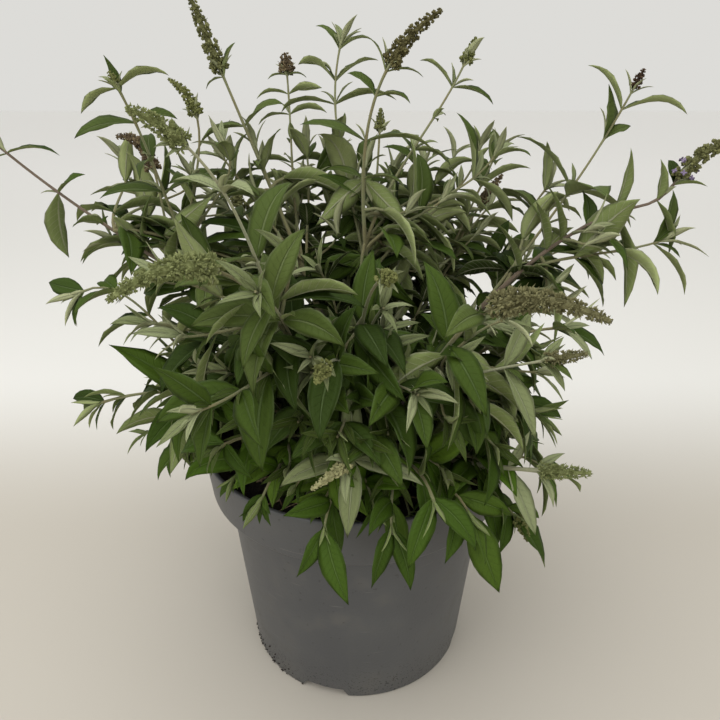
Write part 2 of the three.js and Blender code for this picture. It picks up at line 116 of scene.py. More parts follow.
class Finish:
    """A material with one shader, and the signals that feed it."""

    def __init__(self, name, roughness, **constants):
        self.material = bpy.data.materials.new(name)
        self.material.use_nodes = True
        self.tree = self.material.node_tree
        self.shader = self.tree.nodes["Principled BSDF"]
        for socket, value in {"Roughness": roughness, **constants}.items():
            self.shader.inputs[socket.replace("_", " ")].default_value = value

    def signal(self, kind, settings=None, sockets=None, output=0):
        return Signal.node(self.tree, kind, settings, sockets, output)

    def places(self):
        return self.signal("ShaderNodeTexCoord", output="Object")

    def axis(self, vector, name):
        return self.signal("ShaderNodeSeparateXYZ", sockets={"Vector": vector}, output=name)

    def stretched(self, vector, **changes):
        return self.signal("ShaderNodeMapping", sockets={"Vector": vector, **changes})

    def noise(self, scale, detail, vector=None, **more):
        sockets = {"Vector": vector or self.places(), "Scale": scale, "Detail": detail, **more}
        return self.signal("ShaderNodeTexNoise", sockets=sockets)

    def feed(self, socket, signal):
        self.tree.links.new(signal.socket, self.shader.inputs[socket])

    def relief(self, height, distance):
        sockets = {"Height": height, "Distance": distance}
        self.feed("Normal", self.signal("ShaderNodeBump", sockets=sockets))


FLOOR_SIZE = 14
NEAR_FLOOR_END = 0.10
FAR_FLOOR_START = 0.55
HORIZON = 3


def floor_finish():
    """A floor of one pale tint where the pot stands, painted lighter further back where the lamps give less
    light.
    """
    finish = Finish("pale floor", 0.6)
    depth = finish.axis(finish.places(), "Y")
    # Painted light: the tint grows lighter with distance, most towards the horizon, to make up for the
    # lamps' light.
    lit = depth.step(NEAR_FLOOR_END, FAR_FLOOR_START).between(colour("bdb7ac"), colour("e8e7e3"))
    finish.feed("Base Color", depth.step(FAR_FLOOR_START, HORIZON).between(lit, colour("fbfaf8")))
    return finish.material


bpy.ops.mesh.primitive_plane_add(size=FLOOR_SIZE)
floor = bpy.context.object
floor.name = "studio_floor"
floor.data.materials.append(floor_finish())

AIR_LIGHT = 0.86
world = bpy.data.worlds.new("studio")
bpy.context.scene.world = world
world.use_nodes = True
world.node_tree.nodes["Background"].inputs["Color"].default_value = colour("ecebe7")
world.node_tree.nodes["Background"].inputs["Strength"].default_value = AIR_LIGHT

# Each lamp: its place, the side of its square and its power in watts.
LAMPS = {
    "ceiling": ((-0.2, -0.3, 1.9), 1.5, 15),
    "window": ((-1.5, -1.1, 1.3), 1.4, 10),
    "room": ((0.7, -1.7, 1.3), 1.4, 10),
}
LOOKED_AT = Vector((0, 0, 0.3))
for lamp_name, (place, side, power) in LAMPS.items():
    light = bpy.data.lights.new(lamp_name, "AREA")
    light.size = side
    light.energy = power
    lamp = bpy.data.objects.new(lamp_name, light)
    lamp.location = place
    lamp.rotation_euler = (LOOKED_AT - lamp.location).to_track_quat("-Z", "Y").to_euler()
    bpy.context.collection.objects.link(lamp)

CAMERA_PLACE = (0.0028, -0.487, 0.501)
CAMERA_TILT = 65.2
CAMERA_LENS = 32.5
CAMERA_NEAREST = 0.01
camera = bpy.data.objects.new("camera", bpy.data.cameras.new("camera"))
camera.location = CAMERA_PLACE
camera.rotation_euler = (math.radians(CAMERA_TILT), 0, 0)
camera.data.lens = CAMERA_LENS
camera.data.clip_start = CAMERA_NEAREST
bpy.context.collection.objects.link(camera)
bpy.context.scene.camera = camera
bpy.context.scene.view_settings.view_transform = "Standard"


# ---- The pot ----
# A nursery pot of grey polypropylene, injection moulded: a thin tapered wall, a wider band round the
# top that stiffens it, a rolled lip, and four drain channels moulded up into its foot.
CREASE = math.radians(40)
UP = np.array([0.0, 0.0, 1.0])


def place_mesh(mesh, materials):
    """Makes a piece of a mesh, shaded smooth, on the one body of the plant and its pot."""
    for material in materials:
        mesh.materials.append(material)
    mesh.shade_smooth()
    piece = bpy.data.objects.new(mesh.name, mesh)
    bpy.context.collection.objects.link(piece)
    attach(piece, "root")
    return piece


def make_piece(name, corners, faces, materials):
    """A piece from its corners and its faces, with an edge where the surface turns sharply."""
    mesh = bpy.data.meshes.new(name)
    mesh.from_pydata(np.asarray(corners).tolist(), [], [list(map(int, face)) for face in faces])
    mesh.update()
    piece = place_mesh(mesh, materials)
    mesh.set_sharp_from_angle(angle=CREASE)
    return piece


class Heap:
    """Many things that are joined in one piece."""

    def __init__(self):
        self.corners = []
        self.faces = []
        self.count = 0

    def add(self, corners, faces):
        self.corners.append(np.asarray(corners))
        self.faces.extend([[corner + self.count for corner in face] for face in faces])
        self.count += len(corners)

    def piece(self, name, materials):
        return make_piece(name, np.concatenate(self.corners), self.faces, materials)


def ring_walls(rings, sides, first=0):
    """The faces between rings of corners that follow one another."""
    i = np.arange(sides)
    j = (i + 1) % sides
    foot = first + sides * np.arange(rings - 1)[:, None]
    return np.stack([foot + i, foot + j, foot + sides + j, foot + sides + i], -1).reshape(-1, 4).tolist()


def turned(profile, sides):
    """A solid of revolution from [radius, height] points. The first and the last lie on the axis."""
    turns = np.linspace(0, 2 * np.pi, sides, endpoint=False)
    ring = np.stack([np.cos(turns), np.sin(turns)], 1)
    corners = [[0, 0, profile[0][1]], [0, 0, profile[-1][1]]]
    for radius, height in profile[1:-1]:
        corners.extend([radius * x, radius * y, height] for x, y in ring)
    last = len(corners) - sides
    faces = [[0, 2 + (i + 1) % sides, 2 + i] for i in range(sides)]
    faces += [[1, last + i, last + (i + 1) % sides] for i in range(sides)]
    return corners, faces + ring_walls(len(profile) - 2, sides, 2)


def arc(centre, radius, start, end, steps=5):
    """Points on an arc of a profile, from one angle to another in degrees."""
    turns = np.radians(np.linspace(start, end, steps))
    return [[centre[0] + radius * math.cos(t), centre[1] + radius * math.sin(t)] for t in turns]


def outward(bearing):
    """The level direction of a bearing in radians."""
    return np.array([math.cos(bearing), math.sin(bearing), 0])


_, pot_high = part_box("pot")
POT_HEIGHT = pot_high[2]
POT_TOP_RADIUS = pot_high[0]
POT_BASE_RADIUS = 0.0985
POT_WALL = 0.0025
POT_FLOOR = 0.012
POT_SIDES = 160
BAND_FOOT = POT_HEIGHT - 0.042
BAND_FOOT_RADIUS = 0.126
BODY_TOP_RADIUS = 0.1128
LIP_HEIGHT = 0.004
LIP_WALL = 0.0036
FOOT_ROUND = 0.0025
BAND_ROUND = 0.003
INNER_ROUND = BAND_ROUND * 0.4
LIP_ROUND = 0.0014
LIP_STEP = 0.001


def wall_radius(height):
    """The pot's outer radius at a height."""
    if height < BAND_FOOT:
        return POT_BASE_RADIUS + (BODY_TOP_RADIUS - POT_BASE_RADIUS) * height / BAND_FOOT
    share = (height - BAND_FOOT) / (POT_HEIGHT - BAND_FOOT)
    return BAND_FOOT_RADIUS + (POT_TOP_RADIUS - BAND_FOOT_RADIUS) * share


def pot_profile():
    """The pot's section, up its outside, over its lip and down its inside."""
    lip_inside = POT_TOP_RADIUS - LIP_WALL
    lip_top = POT_HEIGHT - LIP_ROUND
    lip_foot = POT_HEIGHT - LIP_HEIGHT
    ledge = BAND_FOOT + POT_WALL
    return [
        [0, 0],
        [POT_BASE_RADIUS * 0.5, 0],
        *arc([POT_BASE_RADIUS - FOOT_ROUND, FOOT_ROUND], FOOT_ROUND, -90, -5),
        [wall_radius(BAND_FOOT * 0.5), BAND_FOOT * 0.5],
        [BODY_TOP_RADIUS, BAND_FOOT - INNER_ROUND],
        *arc([BODY_TOP_RADIUS + BAND_ROUND, BAND_FOOT - INNER_ROUND], INNER_ROUND, 180, 90, 4),
        *arc([BAND_FOOT_RADIUS - BAND_ROUND, BAND_FOOT + BAND_ROUND], BAND_ROUND, -90, 0),
        [wall_radius(lip_foot - LIP_STEP), lip_foot - LIP_STEP],
        *arc([POT_TOP_RADIUS - LIP_ROUND, lip_top], LIP_ROUND, 0, 90),
        *arc([lip_inside + LIP_ROUND, lip_top], LIP_ROUND, 90, 180),
        [lip_inside, lip_foot],
        [wall_radius(lip_foot) - POT_WALL, lip_foot - LIP_STEP],
        [wall_radius(ledge) - POT_WALL, ledge],
        [BODY_TOP_RADIUS - POT_WALL, ledge],
        [POT_BASE_RADIUS, POT_FLOOR],
        [0, POT_FLOOR],
    ]


DRAIN_BEARINGS = (73.6, 163.6, 253.6, 343.6)
DRAIN_FOOT_WIDTH = 0.045
DRAIN_ROOF_WIDTH = 0.033
DRAIN_HEIGHT = 0.009
DRAIN_OVERRUN = 0.001
DRAIN_INNER_RADIUS = 0.058
DRAIN_HOLE_RADIUS = 0.006
DRAIN_HOLE_PLACE = 0.078
DRAIN_HOLE_SPAN = (0.001, 0.02)
DRAIN_HOLE_SIDES = 24


def drain_cutter():
    """The four channels, each a bar that narrows upwards, and the hole in each channel's roof."""
    foot, roof = DRAIN_FOOT_WIDTH / 2, DRAIN_ROOF_WIDTH / 2
    section = [(-foot, -DRAIN_OVERRUN), (foot, -DRAIN_OVERRUN), (roof, DRAIN_HEIGHT), (-roof, DRAIN_HEIGHT)]
    low, high = DRAIN_HOLE_SPAN
    hole = [[0, low], [DRAIN_HOLE_RADIUS, low], [DRAIN_HOLE_RADIUS, high], [0, high]]
    hole_corners, hole_faces = turned(hole, DRAIN_HOLE_SIDES)
    cutter = Heap()
    for bearing in np.radians(DRAIN_BEARINGS):
        out = outward(bearing)
        across = np.array([-out[1], out[0], 0])
        reaches = (DRAIN_INNER_RADIUS, POT_TOP_RADIUS)
        bar = [out * radius + across * x + UP * z for radius in reaches for x, z in section]
        cutter.add(bar, [[3, 2, 1, 0], [4, 5, 6, 7], *ring_walls(2, 4)])
        cutter.add(out * DRAIN_HOLE_PLACE + np.array(hole_corners), hole_faces)
    return cutter.piece("pot_cutter", [])


def cut_away(piece, cutter):
    """Cuts one piece's shape out of another and takes the cutter away."""
    modifier = piece.modifiers.new("cut", "BOOLEAN")
    modifier.operation = "DIFFERENCE"
    modifier.solver = "EXACT"
    modifier.use_self = True
    modifier.object = cutter
    bpy.context.view_layer.objects.active = piece
    bpy.ops.object.modifier_apply(modifier=modifier.name)
    bpy.data.objects.remove(cutter)
    piece.data.set_sharp_from_angle(angle=CREASE)


def plastic_finish():
    """Grey plastic with a fine grain, dust and scratches, and splashes of soil near its foot."""
    finish = Finish("grey moulded plastic", 0.42)
    cloud = finish.noise(9, 3)
    grain = finish.noise(420, 2)
    specks = finish.noise(260, 1).step(0.71, 0.75)
    dust = finish.noise(38, 5).step(0.5, 0.8)
    foot = 1 - finish.axis(finish.places(), "Z").step(0.0, 0.05)
    splashes = finish.noise(620, 2).step(0.6, 0.68) * (foot * 0.9 + 0.03)
    drawn_out = finish.stretched(finish.places(), Rotation=(0.3, 0.5, 0.9), Scale=(30, 30, 900))
    scratches = finish.noise(1, 1, drawn_out).step(0.74, 0.8)
    base = cloud.step(0.3, 0.7).between(colour("444547"), colour("4d4e4f"))
    dusty = (dust * 0.35 + foot * 0.12).between(base, colour("66635c"))
    scuffed = (scratches * 0.3).between(dusty, colour("8d8a84"))
    dirty = (splashes + specks * 0.35).math("MINIMUM", 1.0).between(scuffed, colour("1d1a17"))
    finish.feed("Base Color", dirty)
    finish.feed("Roughness", cloud * 0.16 + dust * 0.14 + splashes * 0.2 + 0.36)
    finish.relief(grain * 0.35 + cloud * 2 + splashes * 2, 0.00025)
    return finish.material


pot = make_piece("pot_shell", *turned(pot_profile(), POT_SIDES), [plastic_finish()])
cut_away(pot, drain_cutter())
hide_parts("pot")


# ---- The potting mix ----
# Damp dark peat and composted bark, filled to two centimetres below the rim and settled by watering.
# Crumbs and slivers of bark lie on it, and a few dry stalks that the plant has dropped.
luck = np.random.default_rng(7)

SOIL_HEIGHT = 0.192
SOIL_CROWNING = 0.002
SOIL_GAP = 0.0004
SOIL_RINGS = 40
SOIL_SIDES = 96
WAVE_HEIGHT = 0.0012
RIPPLE_HEIGHT = 0.0007
soil_radius = wall_radius(SOIL_HEIGHT) - POT_WALL - SOIL_GAP


def ripple(x, y):
    """How far the settled surface stands above its middle height."""
    waves = np.sin(61 * x + 20 * y) * np.cos(47 * y - 13 * x)
    ripples = np.sin(190 * x) * np.cos(170 * y)
    return WAVE_HEIGHT * waves + RIPPLE_HEIGHT * ripples


def soil_shape():
    """The mix fills the pot's inside, and its top rises a little to the middle."""
    inside = POT_WALL + SOIL_GAP
    floor_top = POT_FLOOR + SOIL_GAP
    ledge = BAND_FOOT + inside
    profile = [[0, floor_top], [POT_BASE_RADIUS - inside, floor_top],
               [BODY_TOP_RADIUS - inside, ledge], [wall_radius(ledge) - inside, ledge]]
    for share in np.linspace(1, 0, SOIL_RINGS + 1):
        profile.append([soil_radius * share, SOIL_HEIGHT + SOIL_CROWNING * (1 - share)])
    corners, faces = turned(profile, SOIL_SIDES)
    corners = np.array(corners)
    top = corners[:, 2] > SOIL_HEIGHT - SOIL_CROWNING / 2
    corners[top, 2] += ripple(corners[top, 0], corners[top, 1])
    return corners, faces


LUMP_SPREAD = (0.5, 1.3)
LUMP_NARROWING = (0.4, 1)
LUMP_SQUASH = 0.6
LUMP_FACES = [[0, 1, 4], [1, 2, 4], [2, 3, 4], [3, 0, 4], [1, 0, 5], [2, 1, 5], [3, 2, 5], [0, 3, 5]]


def lump(size):
    """The corners of an irregular lump: a squashed octahedron, turned about its upright axis."""
    corners = np.array([[1, 0, 0], [0, 1, 0], [-1, 0, 0], [0, -1, 0], [0, 0, 1], [0, 0, -1]], float)
    corners *= size * luck.uniform(*LUMP_SPREAD, (6, 1)) * [1, luck.uniform(*LUMP_NARROWING), LUMP_SQUASH]
    out = outward(luck.random() * 2 * math.pi)
    return corners @ np.array([out, [-out[1], out[0], 0], UP])


CRUMBS = 1500
CRUMB_SIZE = (0.0010, 0.0042)
CRUMB_EDGE = 0.004
CRUMB_RISE = 0.15


def crumb_shapes():
    """Crumbs of bark and peat pressed into the surface of the mix."""
    crumbs = Heap()
    for _ in range(CRUMBS):
        radius = (soil_radius - CRUMB_EDGE) * math.sqrt(luck.random())
        x, y, _ = radius * outward(luck.random() * 2 * math.pi)
        size = CRUMB_SIZE[0] + (CRUMB_SIZE[1] - CRUMB_SIZE[0]) * luck.random() ** 3
        height = SOIL_HEIGHT + SOIL_CROWNING * (1 - radius / soil_radius) + ripple(x, y)
        height += size * CRUMB_RISE
        crumbs.add(lump(size) + [x, y, height], LUMP_FACES)
    return crumbs


GRITS = 70
GRIT_SIZE = (0.0005, 0.0014)
GRIT_BEARING = (212, 16)
GRIT_FOOT = 0.001
GRIT_SPAN = 0.020


def grit_shapes():
    """Crumbs that stick to the outside of the pot just above its foot, most of them on one side."""
    grit = Heap()
    for _ in range(GRITS):
        out = outward(math.radians(luck.normal(*GRIT_BEARING)))
        height = GRIT_FOOT + GRIT_SPAN * luck.random() ** 2
        size = luck.uniform(*GRIT_SIZE)
        grit.add(lump(size) + out * wall_radius(height) + UP * height, LUMP_FACES)
    return grit


def unit(vector):
    return vector / np.linalg.norm(vector, axis=-1, keepdims=True)


def frames_along(points):
    """At each point the way the line runs there, and two directions square to it that turn smoothly."""
    way = unit(np.gradient(points, axis=0))
    level = np.cross(way[0], UP) if abs(way[0][2]) < 0.9 else np.array([1.0, 0, 0])
    across = []
    for heading in way:
        level = unit(level - heading * (level @ heading))
        across.append(level)
    across = np.array(across)
    return way, across, np.cross(way, across)


def limb_shape(points, radii, sides, grooves=0.0):
    """A limb of round section along a line, closed at both ends, with grooves along it."""
    _, across, third = frames_along(points)
    turns = np.linspace(0, 2 * np.pi, sides, endpoint=False)
    groove = 1 + grooves * np.cos(turns * (sides // 3))
    ring = across[:, None] * np.cos(turns)[None, :, None] + third[:, None] * np.sin(turns)[None, :, None]
    corners = points[:, None] + ring * (np.asarray(radii)[:, None] * groove)[:, :, None]
    last = (len(points) - 1) * sides
    ends = [list(range(sides))[::-1], [last + i for i in range(sides)]]
    return corners.reshape(-1, 3), ends + ring_walls(len(points), sides)


STALKS = 26
STALK_LENGTH = (0.012, 0.034)
STALK_RADIUS = 0.0005
STALK_BEARINGS = (195, 300)
STALK_PLACES = (0.62, 0.9)
STALK_RISE = 0.0035
STALK_TILT = 0.1
STALK_BOW = 0.0015
STALK_SPREAD = (0.8, 1.8)
STALK_EDGE = 0.001


def stalk_shapes():
    """Short dry stalks, most of them lying near the pot's wall at the front."""
    stalks = Heap()
    for _ in range(STALKS):
        radius = soil_radius * luck.uniform(*STALK_PLACES)
        middle = radius * outward(math.radians(luck.uniform(*STALK_BEARINGS)))
        middle += UP * (SOIL_HEIGHT + STALK_RISE)
        turn = luck.uniform(0, math.pi)
        half_length = luck.uniform(*STALK_LENGTH) / 2
        half = half_length * (outward(turn) + UP * luck.uniform(-STALK_TILT, STALK_TILT))
        bow = luck.normal(0, STALK_BOW, 3)
        line = middle + half * np.linspace(-1, 1, 5)[:, None] + bow * np.array([0, 0.8, 1, 0.8, 0])[:, None]
        if np.hypot(line[:, 0], line[:, 1]).max() < soil_radius - STALK_EDGE:
            stalks.add(*limb_shape(line, np.full(5, STALK_RADIUS * luck.uniform(*STALK_SPREAD)), 6))
    return stalks


def straw_finish():
    finish = Finish("dry straw", 0.85)
    fibres = finish.noise(300, 3)
    finish.feed("Base Color", fibres.step(0.35, 0.7).between(colour("7c6448"), colour("b3a283")))
    finish.relief(fibres, 0.0003)
    return finish.material


def soil_finish():
    finish = Finish("damp potting mix", 0.95)
    clumps = finish.noise(90, 6)
    fibres = finish.noise(520, 4)
    dark = clumps.step(0.35, 0.7).between(colour("15100c"), colour("2c221a"))
    finish.feed("Base Color", fibres.step(0.62, 0.78).between(dark, colour("4a3a2b")))
    finish.relief(clumps + fibres * 0.5, 0.002)
    return finish.material


soil_material = soil_finish()
soil = make_piece("potting_mix", *soil_shape(), [soil_material])
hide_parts("soil")
crumbs = crumb_shapes().piece("soil_crumbs", [soil_material])
stalks = stalk_shapes().piece("dry_stalks", [straw_finish()])
grit = grit_shapes().piece("foot_grit", [soil_material])


# ---- The plan of the plant ----
# Every limb runs out from the heart of the woody base. Each mass of foliage keeps to the cone round
# its own heading, has a leader and side shoots that fork from it, and ends in leaves, buds or spikes.
HEART = np.array([0, 0, 0.206])
BASE_RADIUS = 0.030
CLEARANCE = 0.0003
BOUGH_SHARE = 0.24
HANDLE = 0.36
CURVE_POINTS = 65
LILAC_HANG = (0.055, 0.060)

# How a shoot may end: the length and radius of its flower spike, how many clusters of buds stand
# round it, how far it narrows to its tip, and its tint.
ENDINGS = {
    "leaf": None,
    "tall_green": (0.054, 0.0074, 5, 0.42, "olive"),
    "dark": (0.047, 0.0074, 5, 0.5, "dark olive"),
    "brown": (0.040, 0.0068, 6, 0.52, "brown"),
    "light": (0.028, 0.0058, 6, 0.6, "green"),
    "lilac": (0.066, 0.0068, 6, 0.36, "olive"),
    "full": (0.062, 0.0092, 8, 0.62, "fuzzy green"),
    "full_brown": (0.064, 0.0094, 8, 0.6, "fuzzy brown"),
    "young": (0.031, 0.0068, 7, 0.45, "fuzzy green"),
    "pale": (0.030, 0.0054, 6, 0.6, "pale"),
    "brown_cluster": (0.013, 0.0076, 7, 0.3, "brown"),
    "green_cluster": (0.018, 0.0058, 6, 0.6, "green"),
    "brown_bud": (0.023, 0.0058, 7, 0.45, "fuzzy brown"),
    "small": (0.007, 0.0034, 5, 0.5, "green"),
    "dark_cluster": (0.013, 0.0046, 5, 0.5, "dark"),
}

# Each mass: its name, how many side shoots fill it, and its main shoots. A shoot is the bearing and
# rise of its tip from the heart in degrees, its reach, the swing of its tip, its lie and its ending.
MASSES = [
    ("top", 2, (5, 80, 0.330, 5, 30, "dark"), (39, 69, 0.333, -10, 66, "green_cluster"),
     (97, 73, 0.325, -50, 68, "leaf"), (30, 64, 0.262, 0, 82, "leaf")),
    ("top_left", 2, (154, 68, 0.366, 20, 70, "tall_green"), (115, 64, 0.333, 0, 79, "brown_cluster")),
    ("left", 1, (177, 42, 0.366, 5, 46, "leaf"), (168, 52, 0.306, 4, -8, "brown"),
     (196, 61, 0.330, 10, 66, "small"), (176, 65, 0.312, 4, 30, "light")),
    ("left_front", 4, (213, 40, 0.215, 0, 15, "leaf")),
    ("front_left", 2, (239, 40, 0.297, -25, -30, "full"), (236, 55, 0.335, -17, 24, "young")),
    ("front", 5, (279, 52, 0.236, 10, 10, "green_cluster"), (263, 38, 0.220, -5, -10, "green_cluster")),
    ("front_right", 3, (302, 38, 0.294, 28, -18, "full_brown"), (318, 35, 0.232, 25, 18, "brown_bud")),
    ("right_front", 3, (335, 38, 0.205, 0, 10, "leaf")),
    ("right", 3, (354, 40, 0.368, 4, -22, "lilac"), (11, 53, 0.362, -8, 68, "dark_cluster")),
    ("back_right", 3, (48, 43, 0.285, 0, 30, "brown")),
    ("back_top", 2, (82, 58, 0.300, 0, 70, "green_cluster")),
    ("back", 3, (92, 34, 0.240, 0, 0, "leaf")),
    ("back_left", 3, (130, 43, 0.290, 0, 30, "tall_green")),
    ("low_left", 2, (198, 17, 0.213, -10, -19, "leaf"), (192, 34, 0.250, 8, -35, "leaf")),
    ("low_front_left", 1, (229, 20, 0.155, 0, -10, "leaf"), (243, 8, 0.146, 0, -45, "leaf")),
    ("low_front", 2, (261, 20, 0.180, -60, -30, "pale"), (262, 5, 0.152, 0, -55, "leaf")),
    ("low_front_right", 3, (289, 12, 0.162, 0, -45, "leaf"), (279, 5, 0.152, 0, -55, "leaf"),
     (300, 5, 0.156, 0, -55, "leaf")),
    ("low_right_front", 2, (317, 15, 0.213, 20, 12, "young"), (316, -6, 0.172, 15, -70, "green_cluster"),
     (330, 6, 0.162, 0, -50, "leaf")),
    ("low_right", 3, (0, 28, 0.170, 0, 0, "leaf"), (348, 12, 0.158, 0, -40, "leaf")),
    ("low_back_right", 3, (38, 11, 0.180, 0, -30, "green_cluster")),
    ("low_back", 3, (72, 10, 0.170, 0, -40, "leaf")),
    ("low_back_left", 3, (108, 11, 0.175, 0, -30, "dark_cluster")),
    ("low_left_back", 3, (142, 10, 0.175, 0, -40, "leaf")),
    ("low_far_left", 2, (171, 12, 0.175, 0, -30, "leaf")),
]

# Leaf pairs whose place is known, by mass and shoot. Each pair is its share of the way along the
# shoot, its turn round the stem, the lengths of its two leaves in millimetres, their lean from it, in
# one number or one for each, and their width by their length where it is not the usual one.
PAIRS = {
    ("top", 0): [(0.97, 0, 27, 24, 40), (0.88, 20, 27, 27, 50), (0.72, 0, 52, 50, 62),
                 (0.58, 30, 38, 34, 62, 0.3)],
    ("top", 1): [(0.99, 90, 14, 14, 20), (0.86, 0, 36, 38, 55), (0.68, 90, 14, 16, 40),
                 (0.5, 20, 34, 36, 55)],
    ("top", 2): [(0.96, 10, 30, 32, 35), (0.84, 0, 42, 40, 36, 0.4), (0.75, 10, 52, 56, 62),
                 (0.6, 80, 40, 40, 60)],
    ("top", 3): [(0.97, 0, 18, 18, 22), (0.88, 80, 18, 18, 25), (0.72, 0, 26, 24, 50),
                 (0.55, 70, 30, 30, 55)],
    ("top_left", 0): [(0.97, 0, 27, 18, (32, 70), 0.42), (0.78, 10, 40, 44, 60), (0.6, 80, 34, 34, 55),
                      (0.45, 10, 46, 46, 60)],
    ("top_left", 1): [(0.98, 0, 18, 18, 70), (0.89, 0, 30, 30, 62), (0.79, 15, 34, 34, 66),
                      (0.66, 80, 18, 18, 45), (0.54, 0, 38, 40, 60)],
    ("left", 0): [(0.93, 0, 40, 30, (112, 50), 0.36), (0.76, 10, 27, 54, (92, 112), 0.46),
                  (0.61, 80, 34, 36, 55), (0.46, 0, 46, 46, 55)],
    ("left", 2): [(0.98, 0, 40, 30, (68, 76), 0.36), (0.96, 90, 14, 24, (20, 12)),
                  (0.85, 0, 30, 44, 66), (0.7, 80, 34, 34, 55), (0.56, 0, 44, 46, 60)],
    ("right", 0): [(0.97, 60, 22, 22, 40), (0.9, 0, 46, 30, (80, 60)), (0.76, 10, 76, 50, (84, 60), 0.26),
                   (0.66, 80, 50, 46, 60), (0.56, 0, 52, 50, (60, 60), 0.36),
                   (0.5, 0, 64, 50, (38, 60), 0.42), (0.38, 0, 62, 50, (46, 60), 0.4)],
    ("right", 1): [(0.91, 0, 54, 44, (34, 46), 0.25), (0.79, 180, 40, 24, 24, 0.5), (0.57, 0, 60, 62, 58),
                   (0.54, 80, 56, 50, (70, 90), 0.46), (0.4, 10, 56, 56, (80, 60), 0.4)],
    ("right_front", 0): [(0.93, 0, 46, 34, (32, 50)), (0.7, 80, 46, 44, 60), (0.45, 0, 50, 48, 60)],
    ("front_right", 1): [(0.95, 90, 24, 22, 40), (0.72, 90, 50, 46, 60), (0.48, 10, 52, 58, 62)],
    ("low_front", 0): [(0.97, 80, 26, 22, 40), (0.78, 0, 50, 52, 72), (0.75, 90, 52, 54, 70),
                       (0.5, 0, 46, 46, 60)],
    ("low_front", 1): [(0.95, 170, 36, 50, 20), (0.7, 60, 40, 40, 50)],
    ("low_left", 0): [(0.95, 0, 22, 30, 40), (0.84, 80, 36, 30, 40), (0.68, 0, 44, 46, 60),
                      (0.5, 270, 72, 54, (28, 66), 0.32)],
    ("low_left", 1): [(0.95, 0, 26, 34, 40), (0.8, 80, 40, 36, 50), (0.62, 0, 44, 50, 60)],
    ("low_left", 12): [(0.92, 180, 48, 34, (36, 20), 0.4)],
    ("low_front_left", 0): [(0.92, 0, 34, 54, 74), (0.66, 80, 44, 44, 56)],
    ("low_front_left", 1): [(0.9, 0, 22, 24, 30), (0.6, 80, 34, 34, 50)],
    ("low_front_right", 0): [(0.93, 0, 44, 48, 40), (0.7, 80, 44, 44, 50)],
    ("low_front_right", 1): [(0.95, 10, 42, 40, 26), (0.7, 70, 44, 44, 50)],
    ("low_front_right", 2): [(0.96, 90, 62, 34, 14, 0.33), (0.8, 0, 44, 46, 45), (0.6, 70, 44, 44, 50)],
    ("low_right_front", 0): [(0.96, 90, 26, 22, 42), (0.76, 90, 50, 30, 58), (0.52, 90, 60, 42, 62),
                             (0.47, 0, 48, 50, 62)],
    ("low_right_front", 1): [(0.97, 80, 48, 16, 16), (0.86, 0, 30, 34, 50), (0.66, 60, 40, 40, 50)],
    ("low_right_front", 2): [(0.95, 0, 44, 40, 30), (0.75, 80, 44, 44, 50)],
}

# Side shoots whose place is known, in rows like those of the main ones, and those that were cut off.
PLACED = {
    "top": [(50, 59, 0.260, 0, 62, "leaf"), (20, 63, 0.260, -10, 60, "leaf"),
            (54, 66, 0.240, 0, 66, "leaf")],
    "back_right": [(42, 53, 0.280, 0, 55, "leaf")],
    "top_left": [(140, 65, 0.260, 0, 66, "leaf"), (120, 70, 0.246, 0, 70, "leaf")],
    "right": [(20, 50, 0.264, 0, 40, "leaf")],
    "left": [(158, 45, 0.280, 0, 50, "leaf"), (156, 55, 0.260, 0, 60, "leaf"),
             (162, 48, 0.300, 0, 62, "leaf"), (172, 32, 0.258, 0, 10, "leaf")],
    "low_left": [(194, 3, 0.140, 0, -30, "leaf")],
}
CUT_OFF = {"right": (2, 4, 6, 7, 10), "top_left": (2, 5, 7), "front_left": (3,)}

# The stems that are not tan: young ones white with felt, and two long ones of the open left and right.
STEM_TINTS = {
    ("front_left", 1): "pale", ("front_right", 1): "pale", ("low_front", 0): "pale",
    ("low_right_front", 0): "pale", ("left", 0): "purple", ("right", 0): "purple",
}


def direction(bearing, rise):
    """The direction of a bearing and a rise in degrees."""
    bearing, rise = math.radians(bearing), math.radians(rise)
    level = math.cos(rise)
    return np.array([level * math.cos(bearing), level * math.sin(bearing), math.sin(rise)])


def chance(a, b, c):
    """The same number from 0 to 1 each time for the same three whole numbers."""
    wave = math.sin(a * 12.9898 + b * 78.233 + c * 37.719) * 43758.5453
    return wave - math.floor(wave)


headings = [unit(sum(direction(shoot[0], shoot[1]) for shoot in main)) for _, _, *main in MASSES]


class Way:
    """A shoot's curve: it leaves its foot along one direction and reaches its tip along another."""

    def __init__(self, foot, way, tip, tip_way):
        handle = HANDLE * np.linalg.norm(tip - foot)
        controls = np.array([foot, foot + way * handle, tip - tip_way * handle, tip])
        t = np.linspace(0, 1, CURVE_POINTS)[:, None]
        weights = np.hstack([(1 - t) ** 3, 3 * t * (1 - t) ** 2, 3 * t ** 2 * (1 - t), t ** 3])
        self.points = weights @ controls
        self.measure()

    def hang(self, depth, reach):
        """Lets the curve hang under the weight of its end, which arches up and over from there."""
        before_tip = self.length - self.along
        share = (self.along / self.length) ** 2
        self.points[:, 2] -= depth * share * (1 - np.exp(-(before_tip / reach) ** 6))
        self.measure()

    def measure(self):
        steps = np.linalg.norm(np.diff(self.points, axis=0), axis=1)
        self.along = np.concatenate([[0], np.cumsum(steps)])
        self.length = self.along[-1]

    def at(self, distance):
        """The points at some distances along the curve."""
        return np.stack([np.interp(distance, self.along, self.points[:, axis]) for axis in range(3)], -1)

    def heading_at(self, distance, step=0.002):
        return unit(self.at(distance + step) - self.at(distance - step))


def tip_of(shoot):
    return HEART + direction(shoot[0], shoot[1]) * shoot[2]


def tip_way_of(shoot):
    return direction(shoot[0] + shoot[3], shoot[4])


